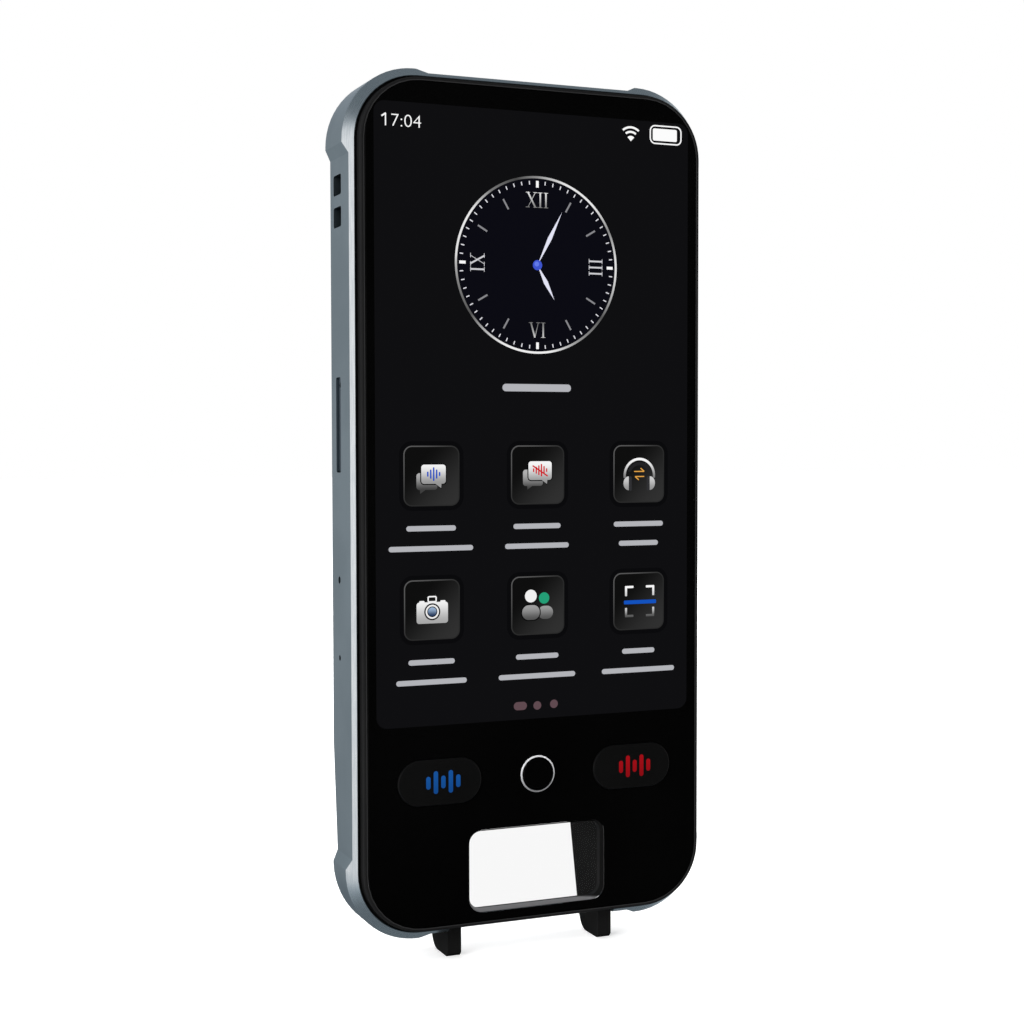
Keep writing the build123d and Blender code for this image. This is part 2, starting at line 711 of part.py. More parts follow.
def cheek_profile():
    """Side outline of a cheek, with the radius of each of its corners."""
    corners = [
        (FLOOR_BACK + SEAT_GAP, TAPER_START, 0),
        (FLOOR_BACK + SEAT_GAP, TUNNEL_TOP, 0),
        (FOOT_SETBACK, TUNNEL_TOP, 0),
        (FOOT_SETBACK, -FOOT_DROP, 0),
        (HEEL_FLAT, -FOOT_DROP, HEEL_ROUND),
        (HEEL_DEPTH, -FOOT_DROP + HEEL_RISE, HEEL_ROUND),
        (SOLE_DEPTH, SOLE_HEIGHT, SOLE_ROUND),
        (BODY_DEPTH, RUNNER_HEIGHT, RUNNER_ROUND),
        (BODY_DEPTH, TAPER_START, 0),
    ]
    placed = [(FRONT + depth, FOOT_DROP + height) for depth, height, _ in corners]
    rounds = [corner_radius for _, _, corner_radius in corners]
    return make_face(FilletPolyline(*placed, radius=rounds, close=True))


def scan_pane_front():
    """Depth of the front edge of the pane in the tunnel's ceiling."""
    return FLOOR_BACK + SCAN_PANE_SETBACK


def scan_middle():
    """Depth of the middle of the scan camera."""
    return scan_pane_front() + SCAN_PANE_DEPTH / 2


def scan_pane(gap, half_shrink, low, high):
    """Box over the pane's outline between two heights above the tunnel's ceiling."""
    half = SCAN_PANE_WIDTH / 2 - half_shrink + gap
    front = scan_pane_front() + half_shrink - gap
    back = scan_pane_front() + SCAN_PANE_DEPTH - half_shrink + gap
    return block(-half, half, TUNNEL_TOP + low, TUNNEL_TOP + high, front, back)


def make_scan_housing():
    """Black housing over the tunnel; its two cheeks run down as the feet."""
    whole = extrude(Plane.YZ.offset(-CHEEK_OUTER) * cheek_profile(), 2 * CHEEK_OUTER)
    tips = whole.edges().filter_by(Axis.X).group_by(Axis.Z)[0].sort_by(Axis.Y)[0]
    whole = chamfer(tips, FOOT_BEVEL)
    half = TUNNEL_WIDTH / 2
    whole -= block(-half, half, -CLEAR, TUNNEL_TOP, -CLEAR, BODY_DEPTH + CLEAR)
    behind = block(-half, half, TUNNEL_TOP - CLEAR, TAPER_START, 0, BODY_DEPTH + CLEAR)
    whole -= behind - tapered_band(-CLEAR, BODY_DEPTH)
    room = TAPER_START - TUNNEL_TOP
    whole -= scan_pane(SEAT_GAP, 0, -CLEAR, SCAN_PANE_THICK)
    whole -= scan_pane(0, SCAN_PANE_FLANGE, 0, room - SCAN_BOARD_DROP)
    whole -= scan_pane(FIT_GAP, 0, room - SCAN_BOARD_DROP, room + CLEAR)
    for side in (-1, 1):
        whole += scan_tab(side)
    return whole


def scan_tab(side):
    """Screw tab on top of the scan housing, against the floor of the frame."""
    x, height = tab_screw_places()[(side + 1) // 2]
    low = x - TAB_WIDTH / 2
    front = FLOOR_BACK + SEAT_GAP
    top = TAPER_START + TAB_HEIGHT
    tab = block(low, low + TAB_WIDTH, TAPER_START, top, front, front + TAB_THICK)
    return tab - post(x, height, SCREW_RADIUS + FIT_GAP, front, front + TAB_THICK)


def make_scan_screws():
    """Two screws that hold the scan housing to the floor of the frame."""
    head = FLOOR_BACK + SEAT_GAP + TAB_THICK
    return screws(tab_screw_places(), head, head - FLOOR_DEPTH)


def make_scan_ceiling_pane():
    """Clear pane under the scan camera and its lamps."""
    return scan_pane(0, 0, 0, SCAN_PANE_THICK)


def scan_board_low():
    """Height of the underside of the scan board."""
    return TAPER_START - SCAN_BOARD_DROP


def make_scan_board():
    """Small board that carries the scan camera and the lamps."""
    low = scan_board_low() - TUNNEL_TOP
    return scan_pane(0, 0, low, low + SCAN_BOARD_THICK)


def make_scan_camera():
    """Camera that looks down on the scanned line."""
    half = SCAN_CAMERA / 2
    room = (SCAN_PANE_DEPTH - 2 * SCAN_PANE_FLANGE) / 2 - FIT_GAP
    top = scan_board_low()
    low = top - SCAN_CAMERA_HEIGHT
    middle = scan_middle()
    body = block(-half, half, low, top, middle - room, middle + room)
    barrel_low = TUNNEL_TOP + SCAN_PANE_THICK + FIT_GAP
    barrel = upright(Pos(0, FRONT + middle) * Circle(room - FIT_GAP), barrel_low, low)
    return body + barrel


def make_scan_lamps():
    """Two lamps beside the scan camera."""
    lamps = []
    half = SCAN_LED / 2
    middle = scan_middle()
    top = scan_board_low()
    for side in (-1, 1):
        x = side * SCAN_LED_SPREAD
        lamps.append(block(x - half, x + half, top - SCAN_LED, top, middle - half, middle + half))
    return Compound(children=lamps)


# Fasteners


def screws(places, head_front, length):
    """Screws with their heads at the back, all along Y."""
    made = []
    for x, height in places:
        shank = post(x, height, SCREW_RADIUS, head_front - length, head_front)
        head = post(x, height, SCREW_HEAD_RADIUS, head_front, head_front + SCREW_HEAD_THICK)
        socket = Pos(x, height) * RegularPolygon(SCREW_HEAD_RADIUS / 2, SCREW_SOCKET_SIDES)
        made.append(shank + head - slab(socket, head_front + SCREW_HEAD_THICK / 2, head_front + CLEAR))
    return Compound(children=made)


def make_board_screws():
    """Screws that hold the main board on its bosses."""
    return screws(board_screw_places(), BOARD_BACK, BOARD_BACK - SCREW_END - FIT_GAP)


# Main board, its parts and the battery


def board_outline():
    """Board across the top of the body, with a strip down beside the battery."""
    inside = face_outline(INNER_OFFSET - BOARD_EDGE)
    half = INNER_HALF - BOARD_EDGE
    band = Pos(0, (BAY_TOP + INNER_TOP) / 2) * Rectangle(2 * half, INNER_TOP - BAY_TOP)
    strip_height = INNER_TOP - BAY_BOTTOM
    strip = Pos(STRIP_INNER - STRIP_WIDTH / 2, BAY_BOTTOM + strip_height / 2)
    return inside & (band + strip * Rectangle(STRIP_WIDTH, strip_height))


def make_main_board():
    """Main circuit board."""
    board = slab(board_outline(), BOARD_FRONT, BOARD_BACK)
    for x, height in board_screw_places():
        board -= post(x, height, SCREW_RADIUS + FIT_GAP, BOARD_FRONT - CLEAR, BOARD_BACK + CLEAR)
    return board - strap_cup_room(FIT_GAP)


def shield_can(x_low, x_high, height_low, height_high):
    """Folded metal lid, open towards the board."""
    back = BOARD_BACK + CAN_HEIGHT
    lid = block(x_low, x_high, height_low, height_high, BOARD_BACK, back)
    wall = CAN_WALL
    room = block(x_low + wall, x_high - wall, height_low + wall, height_high - wall, 0, back - wall)
    return lid - room


def make_shield_cans():
    """Three shields over the chips of the main board."""
    low = BAY_TOP + 2 * BOARD_EDGE
    high = INNER_TOP - FACE_CORNER - BOARD_EDGE
    across = USB_WIDTH / 2
    left = shield_can(-INNER_HALF + 2 * BOARD_EDGE + 2 * BOARD_EDGE, -across, low, high)
    middle = shield_can(-across + BOARD_EDGE, across + BOARD_EDGE, low, high)
    strip_x = STRIP_INNER - BOARD_EDGE
    strip = shield_can(strip_x - CAN_STRIP_WIDTH, strip_x, RESET_HEIGHT + BOARD_EDGE, tray_low())
    return Compound(children=[left, middle, strip])


def tray_low():
    """Height just below the card socket."""
    return TRAY_HEIGHT - TRAY_FRAME / 2 - SOCKET_SIDE - BOARD_EDGE


def make_battery():
    """Battery in its bay beside the board."""
    low = STRIP_INNER + BATTERY_GAP
    high = SIDE_DOME_FACE - SIDE_DOME_THICK - SIDE_BOARD_THICK - BATTERY_GAP
    outline = Rectangle(high - low, BAY_TOP - BAY_BOTTOM - BATTERY_GAP - TAB_HEIGHT)
    middle = (BAY_TOP + BAY_BOTTOM + TAB_HEIGHT - BATTERY_GAP) / 2
    front = FLOOR_BACK + SEAT_GAP
    cell = slab(Pos((low + high) / 2, middle) * outline, front, front + BATTERY_THICK)
    return fillet(cell.edges().filter_by(Axis.Z), BATTERY_CORNER)


def make_battery_flex():
    """Flat lead that climbs from the main board onto the back of the battery."""
    edge = STRIP_INNER + BATTERY_GAP / 2
    high = RESET_HEIGHT
    low = high - FLEX_WIDTH
    battery_back = FLOOR_BACK + SEAT_GAP + BATTERY_THICK
    on_board = block(edge - FLEX_WIDTH, edge, low, high, BOARD_BACK, BOARD_BACK + FLEX_THICK)
    rise = block(edge, edge + FLEX_THICK, low, high, BOARD_BACK, battery_back + FLEX_THICK)
    on_battery = block(edge, edge + FLEX_WIDTH, low, high, battery_back, battery_back + FLEX_THICK)
    return on_board + rise + on_battery


def make_microphone():
    """Microphone on the main board behind the hole in the left side."""
    side = 2 * MIC_RADIUS + 2 * BOARD_EDGE
    x = -INNER_HALF + BOARD_EDGE
    low = MIC_HEIGHT - side / 2
    return block(x, x + side, low, low + side, BOARD_BACK, PORT_LINE + 2 * MIC_RADIUS)


def make_reset_switch():
    """Small switch behind the reset hole."""
    side = 2 * RESET_RADIUS + 2 * BOARD_EDGE
    x = -INNER_HALF + BOARD_EDGE
    low = RESET_HEIGHT - side / 2
    return block(x, x + side, low, low + side, BOARD_BACK, PORT_LINE + 2 * RESET_RADIUS)


# Charging port


def make_usb_port():
    """Metal shell of the charging port, open upwards."""
    mouth = OUTER_TOP - USB_RECESS
    shell = upright(usb_outline(0), mouth - USB_LENGTH, mouth)
    return shell - upright(usb_outline(-USB_WALL), mouth - USB_LENGTH + USB_WALL, mouth + CLEAR)


def make_usb_tongue():
    """Contact tongue inside the port."""
    base = OUTER_TOP - USB_RECESS - USB_LENGTH + USB_WALL
    middle = Pos(0, FRONT + BOARD_BACK + USB_HEIGHT / 2)
    return upright(middle * Rectangle(TONGUE_WIDTH, TONGUE_THICK), base, base + TONGUE_LENGTH)


# Strap anchor and card tray


def strap_cup_room(gap):
    """Space behind the strap openings that the cup takes up."""
    half = STRAP_SLOT_HEIGHT + STRAP_BAR / 2 + STRAP_CUP_WALL + gap
    side = STRAP_SLOT_DEPTH / 2 + STRAP_CUP_WALL + gap
    x_high = -INNER_HALF + STRAP_ROOM + STRAP_CUP_WALL + gap
    low = STRAP_HEIGHT - half
    return block(-INNER_HALF, x_high, low, low + 2 * half, PORT_LINE - side, PORT_LINE + side)


def make_strap_cup():
    """Cup inside the wall, so that a cord can pass round the strap bar."""
    half = STRAP_SLOT_HEIGHT + STRAP_BAR / 2
    side = STRAP_SLOT_DEPTH / 2
    x = -INNER_HALF
    low = STRAP_HEIGHT - half
    hollow = block(x - CLEAR, x + STRAP_ROOM, low, low + 2 * half, PORT_LINE - side, PORT_LINE + side)
    return strap_cup_room(0) - hollow


def tray_outer():
    """X of the tray's face."""
    return -OUTER_HALF + TRAY_RECESS


def card_x():
    """X of the outer edge of the card in the tray."""
    return tray_outer() + TRAY_HEAD + SOCKET_SIDE


def make_card_tray():
    """Sliding tray with a pocket for one nano card."""
    x = tray_outer()
    outline = RectangleRounded(TRAY_WIDTH, TRAY_LENGTH, SLOT_CORNER - TRAY_GAP)
    placed = Pos(FRONT + PORT_LINE, FOOT_DROP + TRAY_HEIGHT) * outline
    head = extrude(Plane.YZ.offset(x) * placed, TRAY_HEAD)
    low = TRAY_HEIGHT - TRAY_FRAME / 2
    front = PORT_LINE - TRAY_THICK / 2
    back = front + TRAY_THICK
    tray = head + block(x + TRAY_HEAD, x + TRAY_REACH, low, low + TRAY_FRAME, front, back)
    pocket_low = TRAY_HEIGHT - CARD_LONG / 2 - SEAT_GAP
    pocket_high = TRAY_HEIGHT + CARD_LONG / 2 + SEAT_GAP
    inner = card_x() + CARD_SHORT + SEAT_GAP
    tray -= block(card_x() - SEAT_GAP, inner, pocket_low, pocket_high, back - CARD_THICK, back)
    rest = SOCKET_SIDE
    tray -= block(card_x() + rest, inner - rest, pocket_low + rest, pocket_high - rest, front, back)
    pin_height = TRAY_HEIGHT + TRAY_LENGTH / 2 - TRAY_WIDTH / 2
    pin = Pos(FRONT + PORT_LINE, FOOT_DROP + pin_height) * Circle(TRAY_PIN_RADIUS)
    return tray - extrude(Plane.YZ.offset(x) * pin, TRAY_HEAD)


def make_card():
    """Blank nano card lying in the tray."""
    back = PORT_LINE + TRAY_THICK / 2
    low = TRAY_HEIGHT - CARD_LONG / 2
    return block(card_x(), card_x() + CARD_SHORT, low, low + CARD_LONG, back - CARD_THICK, back)


def make_card_socket():
    """Socket on the main board that takes the tray."""
    gap = TRAY_GAP
    room_low = TRAY_HEIGHT - TRAY_FRAME / 2 - gap
    room_high = TRAY_HEIGHT + TRAY_FRAME / 2 + gap
    back = PORT_LINE + TRAY_THICK / 2 + gap
    x_low = -INNER_HALF + BOARD_EDGE
    x_high = tray_outer() + TRAY_REACH + SOCKET_SIDE
    side = SOCKET_SIDE
    outer = block(x_low, x_high, room_low - side, room_high + side, BOARD_BACK, back + SOCKET_WALL)
    front = PORT_LINE - TRAY_THICK / 2 - gap
    return outer - block(x_low - CLEAR, x_high - side + gap, room_low, room_high, front, back)


# Keys on the right side


def make_side_key(height, length, pad):
    """Key through the right wall; its flange meets the wall over a pad of this half length."""
    outline = RectangleRounded(SIDE_KEY_WIDTH, length, SIDE_KEY_WIDTH / 2 - SIDE_KEY_GAP)
    placed = Pos(FRONT + PORT_LINE, FOOT_DROP + height) * outline
    face = OUTER_HALF + SIDE_KEY_PROUD
    cap = extrude(Plane.YZ.offset(SIDE_FLANGE_FACE) * placed, face - SIDE_FLANGE_FACE)
    outer_edge = cap.faces().sort_by(Axis.X)[-1].edges()
    cap = fillet(outer_edge, KEY_CROWN)
    low = height - length / 2 - SIDE_FLANGE
    high = height + length / 2 + SIDE_FLANGE
    half = SIDE_KEY_WIDTH / 2 + SIDE_FLANGE
    inner = SIDE_FLANGE_FACE
    outer = inner + SIDE_FLANGE_THICK
    key = cap + block(inner, outer, low, high, PORT_LINE - half, PORT_LINE + half)
    wall = INNER_HALF - SEAT_GAP
    return key + block(outer, wall, height - pad, height + pad, PORT_LINE - half, PORT_LINE + half)


def make_side_key_board():
    """Upright strip behind the side keys, standing on the floor of the frame."""
    back = SIDE_DOME_FACE - SIDE_DOME_THICK
    low = VOLUME_HEIGHT - VOLUME_LENGTH / 2
    high = min(POWER_HEIGHT + POWER_LENGTH / 2, BAY_TOP - SEAT_GAP)
    side = SIDE_KEY_WIDTH / 2
    return block(back - SIDE_BOARD_THICK, back, low, high, FLOOR_BACK, PORT_LINE + side)


def make_side_domes():
    """Snap domes behind the power key and both ends of the volume key."""
    half = SIDE_DOME / 2
    back = SIDE_DOME_FACE
    reach = VOLUME_LENGTH / 2 - SIDE_KEY_WIDTH
    domes = []
    for height in (POWER_HEIGHT - SIDE_KEY_WIDTH, VOLUME_HEIGHT + reach, VOLUME_HEIGHT - reach):
        low = height - half
        front = PORT_LINE - half
        domes.append(block(back - SIDE_DOME_THICK, back, low, low + SIDE_DOME, front, front + SIDE_DOME))
    return Compound(children=domes)


# Rear camera, lamp, speaker and motor


def make_camera_module():
    """Rear camera on the main board."""
    half = CAMERA_BODY / 2
    low = CAMERA_HEIGHT - half
    back = BOARD_BACK + CAMERA_BODY_THICK
    x = CAMERA_SIDE
    body = block(x - half, x + half, low, low + CAMERA_BODY, BOARD_BACK, back)
    return body + post(x, CAMERA_HEIGHT, CAMERA_BARREL, back, camera_lens_front() - SEAT_GAP)


def camera_lens_front():
    """Depth of the inner face of the camera's cover lens."""
    return BODY_DEPTH + TRIM_PROUD - LENS_SETBACK - LENS_THICK


def make_camera_trim():
    """Bright ring round the camera's lens, glued in the cover."""
    trim = post(CAMERA_SIDE, CAMERA_HEIGHT, TRIM_RADIUS, COVER_INNER, BODY_DEPTH + TRIM_PROUD)
    back_edge = trim.faces().sort_by(Axis.Y)[-1].edges()
    trim = chamfer(back_edge, TRIM_PROUD)
    flange = TRIM_RADIUS + COVER_WALL
    trim += post(CAMERA_SIDE, CAMERA_HEIGHT, flange, COVER_INNER - MESH_THICK, COVER_INNER)
    trim -= post(CAMERA_SIDE, CAMERA_HEIGHT, CAMERA_BARREL + FIT_GAP, 0, BODY_DEPTH + CLEAR)
    return trim - post(CAMERA_SIDE, CAMERA_HEIGHT, TRIM_HOLE, camera_lens_front(), BODY_DEPTH + CLEAR)


def make_camera_lens():
    """Clear cover over the rear camera."""
    front = camera_lens_front()
    return post(CAMERA_SIDE, CAMERA_HEIGHT, TRIM_HOLE - SEAT_GAP, front, front + LENS_THICK)


def make_flash_lens():
    """Clear lens of the camera lamp, flush with the back."""
    height = CAMERA_HEIGHT - FLASH_DROP
    return post(CAMERA_SIDE, height, FLASH_RADIUS, BODY_DEPTH - FLASH_THICK, BODY_DEPTH)


def make_speaker():
    """Speaker beside the scan tunnel."""
    x, height = speaker_middle()
    half = SPEAKER_WIDTH / 2
    low = height - SPEAKER_HEIGHT / 2
    front = FLOOR_BACK + SEAT_GAP
    body = block(x - half, x + half, low, low + SPEAKER_HEIGHT, front, front + SPEAKER_THICK)
    cone = Pos(x, height) * SlotOverall(SPEAKER_HEIGHT - 2 * SOCKET_SIDE, half, rotation=UPRIGHT)
    back = front + SPEAKER_THICK
    return body - slab(cone, back - MESH_THICK, back)


def make_vibration_motor():
    """Coin motor on the floor, on the other side of the scan tunnel."""
    x, height = speaker_middle()
    front = FLOOR_BACK + SEAT_GAP
    return post(-x, height, MOTOR_RADIUS, front, front + MOTOR_THICK)


def build_nodes():
    """Every piece of the translator by its node name."""
    return {
        "mid_frame": make_mid_frame(),
        "front_bezel": make_front_bezel(),
        "cover_glass": make_cover_glass(),
        "scan_window": make_scan_window(),
        "display_adhesive": make_display_adhesive(),
        "display_panel": make_display_panel(),
        "backlight": make_backlight(),
        "blue_key": make_long_key(-1),
        "blue_key_bars": make_light_bars(-1),
        "red_key": make_long_key(1),
        "red_key_bars": make_light_bars(1),
        "home_ring": make_home_ring(),
        "home_key": make_home_key(),
        "key_board": make_key_board(),
        "key_domes": make_key_domes(),
        "rear_cover": make_rear_cover(),
        "cover_gasket": make_cover_gasket(),
        "speaker_mesh": make_speaker_mesh(),
        "scan_housing": make_scan_housing(),
        "scan_screws": make_scan_screws(),
        "scan_ceiling_pane": make_scan_ceiling_pane(),
        "scan_board": make_scan_board(),
        "scan_camera": make_scan_camera(),
        "scan_lamps": make_scan_lamps(),
        "main_board": make_main_board(),
        "board_screws": make_board_screws(),
        "shield_cans": make_shield_cans(),
        "battery": make_battery(),
        "battery_flex": make_battery_flex(),
        "microphone": make_microphone(),
        "reset_switch": make_reset_switch(),
        "usb_port": make_usb_port(),
        "usb_tongue": make_usb_tongue(),
        "strap_cup": make_strap_cup(),
        "card_tray": make_card_tray(),
        "nano_card": make_card(),
        "card_socket": make_card_socket(),
        "power_key": make_side_key(POWER_HEIGHT, POWER_LENGTH, POWER_LENGTH / 2),
        "volume_key": make_side_key(VOLUME_HEIGHT, VOLUME_LENGTH, ROCKER_PAD),
        "side_key_board": make_side_key_board(),
        "side_key_domes": make_side_domes(),
        "camera_module": make_camera_module(),
        "camera_trim": make_camera_trim(),
        "camera_lens": make_camera_lens(),
        "flash_lens": make_flash_lens(),
        "speaker": make_speaker(),
        "vibration_motor": make_vibration_motor(),
    }


def main():
    """Write one STEP file per node."""
    os.makedirs("parts", exist_ok=True)
    for name, shape in build_nodes().items():
        export_step(shape, f"parts/{name}.step")


if __name__ == "__main__":
    main()
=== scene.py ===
"""Looks of a handheld translator: its finishes, the picture on its screen and a plain studio round it."""

import logging
import math
from dataclasses import dataclass, field
from enum import Enum
from itertools import product
from typing import Sequence

import bpy
from mathutils import Matrix, Vector


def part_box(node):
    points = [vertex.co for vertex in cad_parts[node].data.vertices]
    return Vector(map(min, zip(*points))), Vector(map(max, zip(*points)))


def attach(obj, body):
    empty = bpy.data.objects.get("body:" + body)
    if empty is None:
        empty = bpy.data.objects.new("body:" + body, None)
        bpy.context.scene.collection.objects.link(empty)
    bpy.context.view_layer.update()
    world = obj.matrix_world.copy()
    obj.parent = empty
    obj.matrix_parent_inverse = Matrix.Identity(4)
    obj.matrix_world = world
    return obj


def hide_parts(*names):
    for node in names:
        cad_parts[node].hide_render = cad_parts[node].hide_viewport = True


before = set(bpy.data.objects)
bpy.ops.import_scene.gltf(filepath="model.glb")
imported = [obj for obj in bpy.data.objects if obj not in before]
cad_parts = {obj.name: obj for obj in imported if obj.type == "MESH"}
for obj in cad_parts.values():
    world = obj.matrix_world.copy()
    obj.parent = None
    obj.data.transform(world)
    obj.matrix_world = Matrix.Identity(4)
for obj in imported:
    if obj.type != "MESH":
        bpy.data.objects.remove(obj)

LOG = logging.getLogger("translator")
MM = 0.001  # one millimetre in metres
QUARTER = math.radians(90)
DOUBLES = 0.001 * MM  # points closer than this are merged
SCREEN_POLISH = 0.12  # gloss of the glass over the screen
WHITE_LIGHT = (1.0, 1.0, 1.0)

Pair = tuple[float, float]
Triple = tuple[float, float, float]
Place = Pair  # mostly grid steps to the right of the middle, and above the lower edge of the face
Colour = Triple  # linear, 0 to 1 a channel


def shade(red: int, green: int, blue: int) -> Colour:
    """Turn a screen colour, 0 to 255 a channel, into the linear colour that a shader takes.

    Args:
        red: Red channel.
        green: Green channel.
        blue: Blue channel.

    Returns:
        The linear colour, 0 to 1 a channel.
    """

    def linear(value: int) -> float:
        """Turn one channel."""
        part = value / 255
        return part / 12.92 if part <= 0.04045 else ((part + 0.055) / 1.055) ** 2.4

    return (linear(red), linear(green), linear(blue))


# Shader nodes


class Sheet:
    """A node tree with a short way to add and join its nodes."""

    def __init__(self, tree: bpy.types.NodeTree) -> None:
        """Take hold of a tree."""
        self.tree = tree
        self.count = 0

    def add(self, kind: str, *inputs: object, **values: object) -> bpy.types.Node:
        """Add a node.

        Args:
            kind: Blender's name for the node's type, without "ShaderNode".
            inputs: What goes into its inputs, in their order; None leaves an input as it is.
            values: Properties to set, and inputs where the name starts with "in_".

        Returns:
            The new node.
        """
        node = self.tree.nodes.new(kind if kind.startswith("Node") else "ShaderNode" + kind)
        node.location = (180 * (self.count % 8), -240 * (self.count // 8))
        self.count += 1
        for name, value in values.items():
            if name.startswith("in_"):
                self.feed(value, node.inputs[name[3:]])
            else:
                setattr(node, name, value)
        for value, socket in zip(inputs, node.inputs):
            if value is not None:
                self.feed(value, socket)
        return node

    def feed(self, value: object, socket: bpy.types.NodeSocket) -> None:
        """Join an output to an input, or set the input to a plain value.

        Args:
            value: An output socket, a number, a vector or a colour.
            socket: The input.
        """
        if isinstance(value, bpy.types.NodeSocket):
            self.tree.links.new(value, socket)
        elif socket.type == "RGBA" and not isinstance(value, (int, float)) and len(value) == 3:
            socket.default_value = (*value, 1.0)
        else:
            socket.default_value = value

    def math(self, operation: str, *values: object) -> bpy.types.NodeSocket:
        """Do a sum, such as "MULTIPLY", on the values."""
        return self.add("Math", *values, operation=operation).outputs[0]

    def along(self, vector: Sequence[object], direction: Sequence[float]) -> bpy.types.NodeSocket:
        """Measure how far a vector reaches in a direction.

        Args:
            vector: The vector's parts.
            direction: The direction's parts.

        Returns:
            The sum of the products.
        """
        reach = self.math("MULTIPLY", vector[0], direction[0])
        for part, share in zip(vector[1:], direction[1:]):
            reach = self.math("MULTIPLY_ADD", part, share, reach)
        return reach

    def span(
        self, value: object, low: float, high: float, start: float = 0.0, end: object = 1.0
    ) -> bpy.types.NodeSocket:
        """Map a value smoothly from low and high to start and end, held at both ends."""
        return self.add("MapRange", value, low, high, start, end, interpolation_type="SMOOTHSTEP").outputs[0]

    def blend(self, share: object, first: object, second: object, kind: str = "RGBA") -> bpy.types.NodeSocket:
        """Mix two colours, or two numbers where the kind is "FLOAT", by the share of the second one."""
        skipped, result = (5, 2) if kind == "RGBA" else (1, 0)
        return self.add("Mix", share, *[None] * skipped, first, second, data_type=kind).outputs[result]

    def xyz(self, vector: object) -> Sequence[bpy.types.NodeSocket]:
        """Take a vector apart."""
        return self.add("SeparateXYZ", vector).outputs[:3]


class Coat(Sheet):
    """The sheet of one material, with its shader and the surface effects that finishes share."""

    def __init__(self, material: bpy.types.Material) -> None:
        """Start a material.

        Args:
            material: The empty material.
        """
        material.use_nodes = True
        material.node_tree.nodes.clear()
        super().__init__(material.node_tree)
        self.shader = self.add("BsdfPrincipled")
        self.add("OutputMaterial", self.shader.outputs[0])
        self.place = self.add("TexCoord").outputs["Object"]

    def set(self, **values: object) -> None:
        """Set the shader's inputs, named with "_" for a space."""
        for name, value in values.items():
            self.feed(value, self.shader.inputs[name.replace("_", " ")])

    def group(self, name: str, inputs: dict[str, float]) -> bpy.types.Node:
        """Put a shared effect into the material, building it the first time.

        Args:
            name: The effect's name, one of those in EFFECTS.
            inputs: Its number inputs.

        Returns:
            The group's node.
        """
        tree = bpy.data.node_groups.get(name)
        if not tree:
            tree = bpy.data.node_groups.new(name, "ShaderNodeTree")
            draw, outputs = EFFECTS[name]
            tree.interface.new_socket("Vector", in_out="INPUT", socket_type="NodeSocketVector")
            for label in inputs:
                tree.interface.new_socket(label, in_out="INPUT", socket_type="NodeSocketFloat")
            for label in outputs:
                tree.interface.new_socket(label, in_out="OUTPUT", socket_type="NodeSocketFloat")
            sheet = Sheet(tree)
            given = sheet.add("NodeGroupInput").outputs
            sink = sheet.add("NodeGroupOutput").inputs
            for label, value in zip(outputs, draw(sheet, given)):
                sheet.feed(value, sink[label])
        node = self.add("Group", node_tree=tree, in_Vector=self.place)
        for label, value in inputs.items():
            self.feed(value, node.inputs[label])
        return node

    def grain(self, scale: float, patch: float) -> tuple[bpy.types.NodeSocket, bpy.types.NodeSocket]:
        """Give the height of a grain of some scale, and where the surface is worn in patches."""
        outputs = self.group("surface grain", {"Scale": scale, "Patch": patch}).outputs
        return outputs["Height"], outputs["Wear"]

    def bump(self, strength: float, distance: float, height: bpy.types.NodeSocket) -> None:
        """Bump the surface by a distance in millimetres, after a height."""
        bump = self.add("Bump", in_Strength=strength, in_Distance=distance * MM, in_Height=height)
        self.set(Normal=bump.outputs[0])

    def rise(self, low: float, high: float, lean: float) -> bpy.types.NodeSocket:
        """Run from 0 to 1 between two heights over the feet, leaning to the right."""
        x, _, z = self.xyz(self.place)
        return self.span(self.math("MULTIPLY_ADD", x, -lean, z), low, high)

    def glow(self, colour: object, body: Colour = (0.0, 0.0, 0.0), polish: float = SCREEN_POLISH) -> None:
        """Light the surface in a colour under a gloss; unlit it has the body's colour."""
        self.set(Base_Color=body, Emission_Color=colour, Emission_Strength=1.0)
        self.set(Roughness=0.06, Specular_IOR_Level=polish)


def draw_grain(sheet: Sheet, given: bpy.types.NodeInputs) -> tuple[object, object]:
    """Draw a fine moulded or blasted grain, and a mask of where it is a little worn.

    Args:
        sheet: The group's sheet.
        given: The group's inputs.

    Returns:
        The height and the mask.
    """
    fine = sheet.add("TexNoise", in_Vector=given["Vector"], in_Scale=given["Scale"], in_Detail=2.0)
    patch = sheet.add("TexNoise", in_Vector=given["Vector"], in_Scale=given["Patch"], in_Detail=5.0)
    return fine.outputs[0], sheet.span(patch.outputs[0], 0.35, 0.7)


def draw_marks(sheet: Sheet, given: bpy.types.NodeInputs) -> tuple[object]:
    """Draw fine tool marks, whose three inputs are the scale on each axis.

    Args:
        sheet: The group's sheet.
        given: The group's inputs.

    Returns:
        The marks.
    """
    scale = sheet.add("CombineXYZ", given["X"], given["Y"], given["Z"])
    stretched = sheet.add("VectorMath", given["Vector"], scale.outputs[0], operation="MULTIPLY")
    return (sheet.add("TexNoise", in_Vector=stretched.outputs[0], in_Scale=1.0, in_Detail=3.0).outputs[0],)


EFFECTS = {"surface grain": (draw_grain, ("Height", "Wear")), "tool marks": (draw_marks, ("Mark",))}


# Finishes


@dataclass(frozen=True)
class Finish:
    """A surface finish that makes its own material."""

    name: str

    def material(self) -> bpy.types.Material:
        """Give the finish's material, made the first time.

        Returns:
            The material.
        """
        found = bpy.data.materials.get(self.name)
        if not found:
            found = bpy.data.materials.new(self.name)
            self.dress(Coat(found))
        return found

    def dress(self, coat: Coat) -> None:
        """Set the material up; each finish has its own way.

        Args:
            coat: The material's sheet.
        """
        raise NotImplementedError


